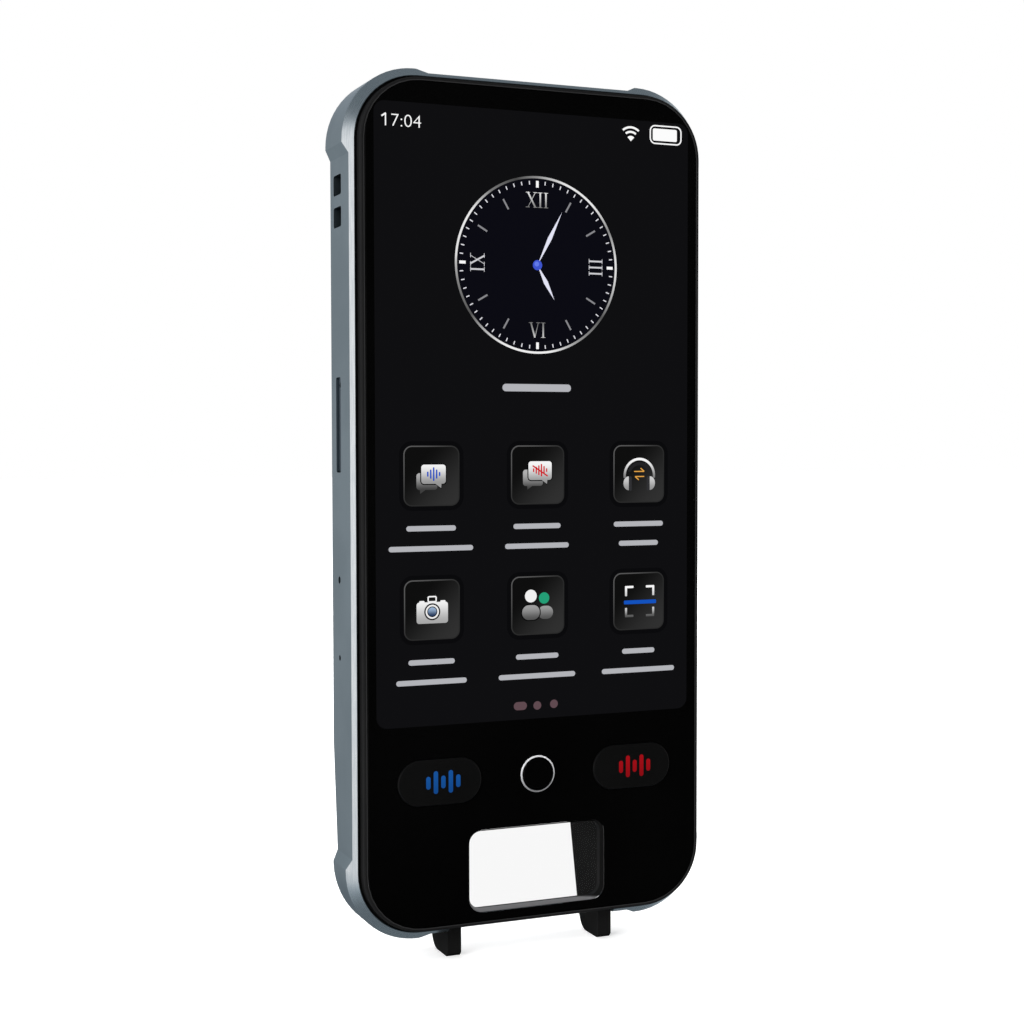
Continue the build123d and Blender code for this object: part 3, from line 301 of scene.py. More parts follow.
@dataclass(frozen=True)
class Plastic(Finish):
    """Moulded plastic, rubber or film with a fine skin and patches of wear."""

    colour: Colour = (0.012, 0.012, 0.012)
    worn: Colour = (0.016, 0.016, 0.016)
    roughness: float = 0.45
    polish: float = 0.25
    grain: float = 3500.0
    bump: float = 0.15
    patch: float = 70.0
    rubbed: float = 0.06  # how much smoother the worn patches are

    def dress(self, coat: Coat) -> None:
        """Set the skin.

        Args:
            coat: The material's sheet.
        """
        height, wear = coat.grain(self.grain, self.patch)
        rough = coat.span(wear, 0.0, 1.0, self.roughness, self.roughness - self.rubbed)
        coat.set(Base_Color=coat.blend(wear, self.colour, self.worn), Roughness=rough)
        coat.set(Specular_IOR_Level=self.polish)
        coat.bump(self.bump, 0.02, height)


@dataclass(frozen=True)
class Metal(Plastic):
    """Bead-blasted metal, a little lighter and smoother where hands rub it."""

    colour: Colour = (0.174, 0.218, 0.243)
    worn: Colour = (0.188, 0.235, 0.261)
    roughness: float = 0.42
    polish: float = 0.5
    grain: float = 5200.0
    bump: float = 0.05
    patch: float = 45.0
    rubbed: float = 0.05
    slanting: Colour = (0.64, 0.66, 0.69)  # tint of what it mirrors at a slant

    def dress(self, coat: Coat) -> None:
        """Set the skin and make it metal.

        Args:
            coat: The material's sheet.
        """
        super().dress(coat)
        coat.set(Metallic=1.0, Specular_Tint=self.slanting)


@dataclass(frozen=True)
class Machined(Finish):
    """Bright cut metal whose colour and gloss vary with fine tool marks."""

    colour: Colour = (0.7, 0.73, 0.76)
    dull: Colour = (0.6, 0.63, 0.67)
    roughness: float = 0.24
    scale: Triple = (300.0, 9000.0, 300.0)

    def dress(self, coat: Coat) -> None:
        """Set the marks.

        Args:
            coat: The material's sheet.
        """
        marks = coat.group("tool marks", dict(zip("XYZ", self.scale))).outputs["Mark"]
        coat.set(Base_Color=coat.blend(coat.span(marks, 0.3, 0.7), self.colour, self.dull), Metallic=1.0)
        coat.set(Roughness=coat.span(marks, 0.3, 0.7, self.roughness, self.roughness + 0.1))
        coat.bump(0.12, 0.01, marks)


@dataclass(frozen=True)
class Glass(Finish):
    """Clear glass or acrylic with hardly visible smears."""

    colour: Colour = (0.97, 0.98, 0.98)
    index: float = 1.49

    def dress(self, coat: Coat) -> None:
        """Set the pane.

        Args:
            coat: The material's sheet.
        """
        _, smears = coat.grain(900.0, 120.0)
        coat.set(Base_Color=self.colour, Transmission_Weight=1.0, IOR=self.index)
        coat.set(Roughness=coat.span(smears, 0.0, 1.0, 0.0, 0.012))


@dataclass(frozen=True)
class PrintedGlass(Finish):
    """Cover glass, black-printed behind, with faint smears on its deep gloss."""

    colour: Colour = (0.0006, 0.0006, 0.0006)
    smeared: Colour = (0.00096, 0.00096, 0.00096)

    def dress(self, coat: Coat) -> None:
        """Set the gloss.

        Args:
            coat: The material's sheet.
        """
        _, smears = coat.grain(700.0, 38.0)
        coat.set(Base_Color=coat.blend(smears, self.colour, self.smeared))
        coat.set(Roughness=coat.span(smears, 0.0, 1.0, 0.03, 0.07), Specular_IOR_Level=SCREEN_POLISH)


@dataclass(frozen=True)
class Run(Finish):
    """A finish whose colour runs from its top to its bottom."""

    top: Colour = (0.5, 0.5, 0.5)
    bottom: Colour = (0.5, 0.5, 0.5)
    high: float = 0.16  # where the top colour is reached, in metres above the feet
    low: float = 0.0
    lean: float = 0.0  # how far the run of colours leans to the right

    def colours(self, coat: Coat) -> bpy.types.NodeSocket:
        """Give the run of colours."""
        return coat.blend(coat.rise(self.low, self.high, self.lean), self.bottom, self.top)


@dataclass(frozen=True)
class Lit(Run):
    """A lit stretch of the screen, or a lamp."""

    body: Colour = (0.0, 0.0, 0.0)

    def dress(self, coat: Coat) -> None:
        """Set the light's colours."""
        coat.glow(self.colours(coat), self.body)


@dataclass(frozen=True)
class Satin(Run):
    """A satin surface with faint smears in its gloss; its run of colours and its dark middle are painted
    light and shade.
    """

    metallic: float = 0.0
    polish: float = 0.2
    roughness: float = 0.3
    middle: Place = (0.0, 0.0)
    painted_shade_within: float = 0.0  # painted shade up to this distance from the middle, in metres

    def dress(self, coat: Coat) -> None:
        """Set the run of shades.

        Args:
            coat: The material's sheet.
        """
        shades = self.colours(coat)
        # Painted shade: the middle is made dark.
        if self.painted_shade_within:
            x, _, z = coat.xyz(coat.place)
            wide = coat.math("SUBTRACT", x, self.middle[0])
            tall = coat.math("SUBTRACT", z, self.middle[1])
            far = coat.math("SQRT", coat.math("MULTIPLY_ADD", wide, wide, coat.math("MULTIPLY", tall, tall)))
            inside = coat.span(far, self.painted_shade_within, self.painted_shade_within + 0.03 * MM)
            shades = coat.blend(inside, (0.004, 0.004, 0.004), shades)
        _, wear = coat.grain(2500.0, 90.0)
        coat.set(Base_Color=shades, Metallic=self.metallic, Specular_IOR_Level=self.polish)
        coat.set(Roughness=coat.span(wear, 0.0, 1.0, self.roughness, self.roughness + 0.08))


@dataclass(frozen=True)
class RingLight(Finish):
    """A drawn metal ring whose shine changes round its middle."""

    middle: Triple = (0.0, 0.0, 0.0)
    stops: tuple[Pair, ...] = ((0.0, 0.9), (1.0, 0.9))  # share of the turn, and grey

    def dress(self, coat: Coat) -> None:
        """Set a grey that follows the angle round the ring's middle.

        Args:
            coat: The material's sheet.
        """
        back = tuple(-part for part in self.middle)
        centred = coat.add("Mapping", in_Vector=coat.place, in_Location=back)
        turned = coat.add("Mapping", in_Vector=centred.outputs[0], in_Rotation=(-QUARTER, 0.0, 0.0))
        angle = coat.add("TexGradient", gradient_type="RADIAL", in_Vector=turned.outputs[0])
        ramp = coat.add("ValToRGB", in_Fac=angle.outputs[1])
        points = ramp.color_ramp.elements
        for index, (position, grey) in enumerate(self.stops):
            point = points[index] if index < len(points) else points.new(position)
            point.position = position
            point.color = (grey, grey, grey, 1.0)
        coat.glow(ramp.outputs[0])


@dataclass(frozen=True)
class TileLight(Finish):
    """A lit grey that runs from each tile's upper left to its lower right."""

    corner: tuple[int, int]  # greys, 0 to 255
    reach: Pair
    start: Place  # upper left corner of the first tile, in metres
    pitch: Place  # from tile to tile, across and down
    size: Place  # of a tile, in millimetres

    def dress(self, coat: Coat) -> None:
        """Set the run of grey, repeated on every tile.

        Args:
            coat: The material's sheet.
        """
        x, _, z = coat.xyz(coat.place)
        shares = []
        for offset, pitch, size in (
            (coat.math("SUBTRACT", x, self.start[0]), self.pitch[0], self.size[0]),
            (coat.math("SUBTRACT", self.start[1], z), self.pitch[1], self.size[1]),
        ):
            shares.append(coat.math("DIVIDE", coat.math("WRAP", offset, pitch, 0.0), size * MM))
        first, second = (shade(grey, grey, grey) for grey in self.corner)
        coat.glow(coat.blend(coat.span(coat.math("ADD", *shares), *self.reach), first, second))


@dataclass(frozen=True)
class CircuitBoard(Finish):
    """Solder mask over copper tracks."""

    colour: Colour = (0.008, 0.05, 0.028)
    track: Colour = (0.015, 0.09, 0.05)

    def dress(self, coat: Coat) -> None:
        """Set a green mask with square cells of tracks under it.

        Args:
            coat: The material's sheet.
        """
        cells = coat.add("TexVoronoi", distance="MANHATTAN", feature="DISTANCE_TO_EDGE", in_Scale=450.0)
        coat.feed(coat.place, cells.inputs["Vector"])
        tracks = coat.span(cells.outputs[0], 0.02, 0.05, 1.0, 0.0)
        coat.set(Base_Color=coat.blend(tracks, self.colour, self.track))
        coat.set(Roughness=coat.span(tracks, 0.0, 1.0, 0.3, 0.2))
        coat.bump(0.3, 0.03, tracks)


METAL = Metal("blue grey anodised metal")
CUT_EDGE = Machined("bright cut edge", (0.76, 0.79, 0.81), (0.64, 0.68, 0.71))
# Painted shade: the same metal as the band, made darker to stand for the shade in the recessed card slot and
# strap cups.
SHADED_TRAY_METAL = Metal("card tray metal with painted shade", (0.11, 0.135, 0.16), (0.12, 0.147, 0.173), 0.4)
BEZEL = Plastic(
    "satin black bezel", (0.0095, 0.0095, 0.0098), (0.011, 0.011, 0.0112), 0.5, 0.025, 5200.0, 0.06
)
HOUSING = Plastic("black scan housing", (0.0085,) * 3, (0.0105,) * 3, 0.6, 0.006, bump=0.1)
KEYS = Plastic("soft black keys", (0.0028,) * 3, (0.0036,) * 3, 0.36, 0.1, 6000.0, 0.05)
COVER = Plastic("matte charcoal cover", (0.022, 0.023, 0.025), (0.0245, 0.0255, 0.0275), 0.6, bump=0.3)
GLASS = PrintedGlass("printed cover glass")
PANE = Glass("coated clear pane", (0.935, 0.935, 0.935), 1.12)
LENS = Glass("camera glass", (0.72, 0.74, 0.82), 1.52)
RING = Machined("polished ring", (0.8, 0.8, 0.82), (0.72, 0.72, 0.74), 0.12)
HOME_LOW, HOME_HIGH = (corner.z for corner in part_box("home_ring"))
# Painted light: the evenly silver ring is made lighter at the top and darker at the bottom, and painted shade
# darkens its inside.
PAINTED_HOME_RING = Satin(
    "drawn silver ring with painted light",
    top=(0.9, 0.9, 0.92),
    bottom=(0.28, 0.28, 0.29),
    high=HOME_HIGH,
    low=HOME_LOW,
    lean=0.1,
    metallic=0.3,
    middle=(0.0, (HOME_LOW + HOME_HIGH) / 2),
    painted_shade_within=(HOME_HIGH - HOME_LOW) / 2 - 0.3 * MM,  # painted shade inside this, where the ring falls away to the key
)
STEEL = Machined("plain steel", (0.5, 0.5, 0.5), (0.42, 0.42, 0.43), 0.3, (900.0, 900.0, 900.0))
TIN = Machined("tinned sheet", (0.56, 0.56, 0.54), (0.48, 0.48, 0.46), 0.35, (150.0, 150.0, 2500.0))
MESH = Metal("black steel mesh", (0.03,) * 3, (0.05,) * 3, 0.5, grain=2500.0, bump=0.8)
SEAL = Plastic("foam seal", (0.015, 0.015, 0.016), (0.016,) * 3, 0.9, 0.1, 2500.0, 0.6)
BOARD = CircuitBoard("circuit board")
POUCH = Plastic("battery pouch", (0.05, 0.05, 0.055), (0.08, 0.08, 0.085), 0.35, 0.5, 400.0, 0.4)
FILM = Plastic("amber film", (0.3, 0.12, 0.01), (0.36, 0.15, 0.02), 0.3, 0.5, 900.0, 0.1)
WHITE = Plastic("white plastic", (0.7,) * 3, (0.75,) * 3, 0.5, 0.4)
LAMP = Plastic("lamp lens", (0.85, 0.78, 0.5), (0.9, 0.84, 0.6), 0.15, 0.6, 1500.0, 0.5)
PANEL = Plastic("display panel", (0.004, 0.004, 0.005), (0.005, 0.005, 0.006), 0.2, 0.3, bump=0.0)
BAR_RUN = {"high": 0.035, "low": 0.03}
BLUE_BAR = Lit("blue light bar", shade(18, 78, 148), shade(12, 63, 125), **BAR_RUN, body=shade(6, 16, 34))
RED_BAR = Lit("red light bar", shade(154, 8, 17), shade(128, 5, 12), **BAR_RUN, body=shade(34, 6, 8))

FINISHED_NODES: dict[Finish, tuple[str, ...]] = {
    METAL: ("mid_frame", "power_key", "volume_key"),
    BEZEL: ("front_bezel",),
    GLASS: ("cover_glass", "home_key"),
    PANE: ("scan_window", "scan_ceiling_pane"),
    PANEL: ("display_adhesive", "display_panel"),
    WHITE: ("backlight", "nano_card"),
    KEYS: ("blue_key", "red_key"),
    BLUE_BAR: ("blue_key_bars",),
    RED_BAR: ("red_key_bars",),
    PAINTED_HOME_RING: ("home_ring",),
    BOARD: ("key_board", "scan_board", "main_board"),
    STEEL: ("key_domes", "scan_screws", "board_screws", "usb_port", "side_key_domes", "vibration_motor"),
    COVER: ("rear_cover",),
    SEAL: ("cover_gasket",),
    MESH: ("speaker_mesh",),
    HOUSING: (
        "scan_housing", "scan_camera", "camera_module", "microphone", "speaker", "reset_switch", "usb_tongue"
    ),
    LAMP: ("scan_lamps", "flash_lens"),
    TIN: ("shield_cans", "card_socket"),
    POUCH: ("battery",),
    FILM: ("battery_flex", "side_key_board"),
    SHADED_TRAY_METAL: ("strap_cup", "card_tray"),
    RING: ("camera_trim",),
    LENS: ("camera_lens",),
}


# Flat pictures on the glass

FACE_START = 0.65  # lower edge of the glass above the lower edge of the face, in millimetres
GLASS_LOW, GLASS_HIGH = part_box("cover_glass")
FACE_FOOT = GLASS_LOW.z - FACE_START * MM
GLASS_FRONT = GLASS_LOW.y
LAYER_STEP = 0.015 * MM
GRID_STEP = (0.9964, 0.9986)  # millimetres in one step of the picture's grid, across and up
GRID_START = (-0.07, 0.07)
CORNER_STEPS = 8
MOST_CORNER = 0.495  # largest corner radius, as a share of a shape's smaller side
FULL_TURN = 360.0


class Layer(Enum):
    """Layers of the picture, from the glass outwards."""

    RECESS = -16
    GROUND = 0
    DIAL = 1
    TILE = 2
    RIM = 3
    BEHIND = 4
    GAP = 5
    FRONT = 6
    MARK = 7
    TOP = 8


@dataclass
class Draft:
    """Flat shapes laid out on the glass in edit mode, and raised into one thin closed piece at the end."""

    name: str
    layer: Layer
    finish: Finish
    slot: str = "screen"  # the record's material slot; not used
    exact: bool = False  # places are in millimetres, not in steps of the picture's grid
    thickness: float = 1.0  # in layers

    def __enter__(self) -> "Draft":
        """Start with an empty mesh.

        Returns:
            The draft.
        """
        bpy.ops.object.select_all(action="DESELECT")
        bpy.ops.object.add(type="MESH")
        bpy.context.object.name = self.name
        bpy.ops.object.mode_set(mode="EDIT")
        return self

    def __exit__(self, *_: object) -> None:
        """Raise all the shapes and hand the piece over."""
        bpy.ops.mesh.reveal()
        bpy.ops.mesh.select_all(action="SELECT")
        lift = {"value": (0.0, -LAYER_STEP * self.thickness, 0.0)}
        bpy.ops.mesh.extrude_region_move(TRANSFORM_OT_translate=lift)
        close_mesh()
        hand_over(bpy.context.object, self.finish)

    def spot(self, place: Place) -> Vector:
        """Turn a place on the face into a point in space.

        Args:
            place: Grid steps to the right of the middle, and above the lower edge of the face.

        Returns:
            The point on this layer.
        """
        depth = GLASS_FRONT - self.layer.value * LAYER_STEP
        if self.exact:
            return Vector((place[0] * MM, depth, FACE_FOOT + place[1] * MM))
        return Vector((across(place[0]), depth, level(place[1])))

    def begin(self) -> None:
        """Hide what is drawn so far, so that the next steps work on the new shape alone."""
        bpy.ops.mesh.select_all(action="SELECT")
        bpy.ops.mesh.hide(unselected=False)

    def plate(self, place: Place, size: Place, radius: float = 0.0, turn: float = 0.0) -> None:
        """Lay out a rectangle.

        Args:
            place: Its middle.
            size: Its width and height.
            radius: The radius of its corners.
            turn: Degrees that it is turned clockwise.
        """
        self.begin()
        spot = self.spot(place)
        bpy.ops.mesh.primitive_plane_add(size=MM, location=spot, rotation=(QUARTER, 0.0, 0.0))
        bpy.ops.transform.resize(value=(size[0], 1.0, size[1]), center_override=spot)
        if radius:
            most = min(radius, MOST_CORNER * min(size)) * MM
            bpy.ops.mesh.bevel(offset=most, offset_type="OFFSET", affect="VERTICES", segments=CORNER_STEPS)
        if turn:
            self.turn(place, turn)

    def line(self, start: Place, end: Place, width: float, radius: float = 0.0) -> None:
        """Lay out a straight stroke.

        Args:
            start: Where it starts.
            end: Where it ends.
            width: Its width.
            radius: The radius of its corners.
        """
        wide, up = end[0] - start[0], end[1] - start[1]
        middle = ((start[0] + end[0]) / 2, (start[1] + end[1]) / 2)
        self.plate(middle, (width, math.hypot(wide, up)), radius, math.degrees(math.atan2(wide, up)))

    def disc(self, place: Place, radius: float, sides: int = 48, stretch: Place | None = None) -> None:
        """Lay out a disc.

        Args:
            place: Its middle.
            radius: Its radius.
            sides: How many sides it has.
            stretch: How much wider and taller it is then made.
        """
        self.begin()
        spot = self.spot(place)
        upright = {"location": spot, "rotation": (QUARTER, 0.0, 0.0)}
        bpy.ops.mesh.primitive_circle_add(vertices=sides, radius=radius * MM, fill_type="NGON", **upright)
        if stretch:
            bpy.ops.transform.resize(value=(stretch[0], 1.0, stretch[1]), center_override=spot)

    def hollow(self, width: float, shift: Place = (0.0, 0.0)) -> None:
        """Leave only an edge of the new shape.

        Args:
            width: The edge's width.
            shift: How far the opening is then moved.
        """
        bpy.ops.mesh.inset(thickness=width * MM)
        if any(shift):
            bpy.ops.transform.translate(value=(shift[0] * MM, 0.0, shift[1] * MM))
        bpy.ops.mesh.delete(type="FACE")

    def trim(self, place: Place, *away: float) -> None:
        """Cut the new shape along one or more lines through a point, and drop one side of each.

        Args:
            place: The point.
            away: The direction of each side to drop, in degrees clockwise from up.
        """
        for angle in map(math.radians, away):
            bpy.ops.mesh.select_all(action="SELECT")
            side = (math.sin(angle), 0.0, math.cos(angle))
            bpy.ops.mesh.bisect(plane_co=self.spot(place), plane_no=side, clear_outer=True)

    def turn(self, place: Place, turn: float) -> None:
        """Turn the new shape clockwise about a point, by degrees."""
        bpy.ops.mesh.select_all(action="SELECT")
        bpy.ops.transform.rotate(
            value=-math.radians(turn), orient_axis="Y", center_override=self.spot(place)
        )

    def repeat(self, place: Place, count: int) -> None:
        """Copy the new shape evenly round a point.

        Args:
            place: The point.
            count: How many there are in the end.
        """
        bpy.ops.mesh.select_all(action="SELECT")
        angle = math.radians(FULL_TURN / count * (count - 1))
        spot = self.spot(place)
        bpy.ops.mesh.spin(steps=count - 1, dupli=True, angle=angle, center=spot, axis=(0.0, 1.0, 0.0))


def close_mesh() -> None:
    """Turn every face outwards and leave edit mode."""
    bpy.ops.mesh.select_all(action="SELECT")
    bpy.ops.mesh.normals_make_consistent(inside=False)
    bpy.ops.object.mode_set(mode="OBJECT")


def hand_over(piece: bpy.types.Object, finish: Finish) -> None:
    """Dress a finished piece and let it ride on the casing.

    Args:
        piece: The piece.
        finish: Its finish.
    """
    piece.data.materials.clear()
    piece.data.materials.append(finish.material())
    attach(piece, "casing")
    LOG.info("%s: %d faces", piece.name, len(piece.data.polygons))


def across(steps: float) -> float:
    """Turn grid steps to the right of the middle into metres."""
    return (GRID_START[0] + steps * GRID_STEP[0]) * MM


def level(steps: float) -> float:
    """Turn grid steps above the lower edge of the face into metres above the feet."""
    return FACE_FOOT + (GRID_START[1] + steps * GRID_STEP[1]) * MM


def grown(size: Place, edge: float) -> Place:
    """Make a size larger by an edge all round."""
    return (size[0] + 2 * edge, size[1] + 2 * edge)


def plain(name: str, red: int, green: int, blue: int) -> Lit:
    """Make a plain lit colour, 0 to 255 a channel."""
    colour = shade(red, green, blue)
    return Lit(name, top=colour, bottom=colour)


def fade(name: str, top: int, bottom: int, high: float, low: float) -> Lit:
    """Make a lit grey, 0 to 255, that runs from a high to a low place in grid steps."""
    return Lit(name, shade(top, top, top), shade(bottom, bottom, bottom), level(high), level(low))


@dataclass
class ScreenGround:
    """The lit area itself."""

    width: float = 62.0
    bottom: float = 37.18
    top: float = 147.4
    corner: float = 2.0
    shift: float = 0.03

    def build(self) -> None:
        """Lay the dark ground of the picture."""
        with Draft("screen_ground", Layer.GROUND, plain("dark ground", 14, 14, 16)) as draft:
            middle = (self.shift, (self.bottom + self.top) / 2)
            draft.plate(middle, (self.width, self.top - self.bottom), self.corner)


@dataclass
class StatusRow:
    """Time, signal and battery at the top of the screen."""

    time: str = "17:04"
    time_place: Place = (-29.75, 143.1)
    time_size: float = 3.2
    time_width: float = 1.07
    time_thin: float = -0.05  # how much bolder the digits are made
    time_flag: tuple[Place, Place] = ((-28.8, 145.28), (-29.62, 144.75))
    time_stroke: float = 0.28
    signal: Place = (19.1, 143.56)
    signal_half: float = 40.0  # half the angle that it spreads over
    signal_arcs: tuple[Place, ...] = ((0.98, 0.0), (1.9, 0.38), (2.74, 0.38))  # outer radius and width
    battery: Place = (26.41, 145.13)
    battery_size: Place = (6.7, 3.52)
    battery_corner: float = 1.1
    battery_edge: float = 0.25
    charge: Place = (26.23, 145.13)
    charge_size: Place = (5.06, 2.24)
    charge_corner: float = 0.3
    finish: Lit = field(default_factory=lambda: plain("status white", 252, 252, 252))

    def build(self) -> None:
        """Lay out the row."""
        self.digits()
        with Draft("time_flag", Layer.TILE, self.finish) as draft:
            draft.line(*self.time_flag, self.time_stroke)
        away = 90.0 + self.signal_half
        with Draft("signal_mark", Layer.TILE, self.finish) as draft:
            for outer, width in self.signal_arcs:
                draft.disc(self.signal, outer)
                if width:
                    draft.hollow(width)
                draft.trim(self.signal, away, -away)
        with Draft("battery_mark", Layer.TILE, self.finish) as draft:
            draft.plate(self.battery, self.battery_size, self.battery_corner)
            draft.hollow(self.battery_edge)
            draft.plate(self.charge, self.charge_size, self.charge_corner)

    def digits(self) -> None:
        """Write the time."""
        bpy.ops.object.select_all(action="DESELECT")
        x, height = self.time_place
        spot = (across(x), GLASS_FRONT - Layer.TILE.value * LAYER_STEP, level(height))
        bpy.ops.object.text_add(location=spot, rotation=(QUARTER, 0.0, 0.0))
        text = bpy.context.object
        text.name = "time_digits"
        text.data.body = self.time
        text.data.size = self.time_size * MM
        text.data.extrude = LAYER_STEP / 2
        text.data.offset = self.time_thin * MM
        text.data.resolution_u = 4
        text.scale = (self.time_width, 1.0, 1.0)
        bpy.ops.object.convert(target="MESH")
        bpy.ops.object.transform_apply(location=True, rotation=True, scale=True)
        bpy.ops.object.mode_set(mode="EDIT")
        bpy.ops.mesh.select_all(action="SELECT")
        bpy.ops.mesh.remove_doubles(threshold=DOUBLES)
        close_mesh()
        hand_over(text, self.finish)


THICK, THIN = 0.3, 0.1  # widths of a letter's strokes


@dataclass(frozen=True)
class Letter:
    """One letter of a numeral, in grid steps from its own middle."""

    width: float
    legs: tuple[Triple, ...]  # where each meets the top and the bottom, and its width
    top_serifs: tuple[float, ...]
    foot_serifs: tuple[float, ...]
    serif: float  # half a serif's length

    def strokes(self, height: float) -> list[tuple[Place, Place, float]]:
        """List the letter's strokes.

        Args:
            height: The letter's height.

        Returns:
            Each stroke's start, end and width.
        """
        half = height / 2
        found = [((top, half), (foot, -half), width) for top, foot, width in self.legs]
        edge = half - THIN / 2
        for z, serifs in ((edge, self.top_serifs), (-edge, self.foot_serifs)):
            found += [((x - self.serif, z), (x + self.serif, z), THIN) for x in serifs]
        return found


LETTERS = {
    "I": Letter(1.12, ((0.0, 0.0, THICK),), (0.0,), (0.0,), 0.42),
    "V": Letter(2.3, ((-0.75, 0.05, THICK), (0.75, 0.05, THIN)), (-0.75, 0.75), (), 0.4),
    "X": Letter(2.3, ((-0.75, 0.75, THICK), (0.75, -0.75, THIN)), (-0.75, 0.75), (-0.75, 0.75), 0.4),
}


@dataclass
class ClockFace:
    """A round clock with ticks, Roman numerals and two hands."""

    centre: Place = (0.1, 119.95)
    radius: float = 16.03
    ring_width: float = 0.4
    dial_inset: float = 0.1
    sides: int = 128
    tick: Place = (14.55, 15.2)  # inner and outer end, from the middle
    quarter: Place = (14.0, 15.2)
    hour: Place = (11.35, 13.4)
    widths: Triple = (0.19, 0.52, 0.32)  # of ticks, quarters and hours
    numeral_ring: float = 11.75
    numeral_height: float = 2.75
    hands: tuple[tuple[Place, float], ...] = (((5.0, 129.7), 0.8), ((3.45, 113.75), 0.85))  # tip and width
    hub: float = 0.92
    hub_shine: float = 0.45
    hub_shift: Place = (-0.15, 0.2)
    shine: tuple[tuple[int, ...], ...] = (  # degrees clockwise from the top, and the grey at each
        (0, 20, 45, 65, 85, 95, 125, 150, 172, 205, 235, 258, 275, 305, 325, 345),
        (140, 230, 236, 130, 226, 220, 85, 150, 240, 236, 80, 130, 225, 236, 120, 70),
    )

    def out(self, radius: float, turn: float = 0.0) -> Place:
        """Find a place on the dial, so many grid steps out and degrees clockwise from the top."""
        angle = math.radians(turn)
        return (self.centre[0] + radius * math.sin(angle), self.centre[1] + radius * math.cos(angle))

    def build(self) -> None:
        """Build the clock."""
        with Draft("clock_dial", Layer.DIAL, plain("dial", 10, 10, 18)) as draft:
            draft.disc(self.centre, self.radius - self.dial_inset, self.sides)
        with Draft("clock_ring", Layer.TILE, self.ring_finish()) as draft:
            draft.disc(self.centre, self.radius, self.sides)
            draft.hollow(self.ring_width)
        self.ticks()
        self.numerals()
        self.pointers()

    def ring_finish(self) -> RingLight:
        """Make the ring's finish, whose shine changes round the dial.

        Returns:
            The finish.
        """
        shine = zip(*self.shine)
        stops = sorted(((0.75 - turn / FULL_TURN) % 1.0, shade(grey, grey, grey)[0]) for turn, grey in shine)
        ends = (stops[0][1] + stops[-1][1]) / 2
        middle = (across(self.centre[0]), GLASS_FRONT, level(self.centre[1]))
        return RingLight("clock ring", middle, ((0.0, ends), *stops, (1.0, ends)))

    def ticks(self) -> None:
        """Draw the minute ticks, the quarters and the hour bars."""
        ticks, quarters, hours = self.widths
        with Draft("clock_ticks", Layer.TILE, plain("tick white", 226, 226, 232)) as draft:
            draft.line(*map(self.out, self.tick), ticks)
            draft.repeat(self.centre, 60)
        with Draft("clock_quarters", Layer.RIM, plain("quarter white", 250, 250, 250)) as draft:
            draft.line(*map(self.out, self.quarter), quarters)
            draft.repeat(self.centre, 4)
        with Draft("clock_hours", Layer.TILE, plain("hour grey", 136, 136, 140)) as draft:
            for turn in (30.0, 60.0):
                draft.line(self.out(self.hour[0], turn), self.out(self.hour[1], turn), hours)
                draft.repeat(self.centre, 4)

    def numerals(self) -> None:
        """Draw the four numerals, of which the lowest stands upright."""
        upright = fade("numeral top", 226, 130, self.out(13.2)[1], self.out(10.3)[1])
        lower = fade("numeral bottom", 120, 200, self.out(-10.4)[1], self.out(-13.4)[1])
        side = plain("numeral side", 205, 205, 210)
        words = (("XII", 0.0, 0.0, upright), ("III", 90.0, 90.0, side), ("VI", 180.0, 0.0, lower))
        for word, place, turn, finish in (*words, ("IX", 270.0, 270.0, side)):
            with Draft("numeral_" + word.lower(), Layer.TILE, finish) as draft:
                self.word(draft, word, self.out(self.numeral_ring, place), turn)

    def word(self, draft: Draft, word: str, middle: Place, turn: float) -> None:
        """Draw one numeral.

        Args:
            draft: The draft that it goes on.
            word: Its letters.
            middle: Its middle.
            turn: Degrees that it is turned clockwise.
        """
        cos, sin = math.cos(math.radians(turn)), math.sin(math.radians(turn))
        letters = [LETTERS[sign] for sign in word]
        left = -sum(letter.width for letter in letters) / 2
        for letter in letters:
            shift = left + letter.width / 2
            left += letter.width
            for *ends, width in letter.strokes(self.numeral_height):
                spots = [
                    (middle[0] + (x + shift) * cos + z * sin, middle[1] - (x + shift) * sin + z * cos)
                    for x, z in ends
                ]
                draft.line(*spots, width)

    def pointers(self) -> None:
        """Draw the two hands, each a long lozenge, and the hub."""
        with Draft("clock_hands", Layer.FRONT, plain("hand white", 228, 229, 246)) as draft:
            for tip, width in self.hands:
                wide, up = tip[0] - self.centre[0], tip[1] - self.centre[1]
                middle = (self.centre[0] + wide / 2, self.centre[1] + up / 2)
                draft.disc(middle, 0.5, 4, (width, math.hypot(wide, up)))
                draft.turn(middle, math.degrees(math.atan2(wide, up)))
        with Draft("clock_hub", Layer.MARK, plain("hub blue", 62, 84, 205)) as draft:
            draft.disc(self.centre, self.hub)
        with Draft("clock_hub_shine", Layer.TOP, plain("hub light blue", 98, 122, 232)) as draft:
            x, height = self.hub_shift
            draft.disc((self.centre[0] + x, self.centre[1] + height), self.hub_shine, 32)


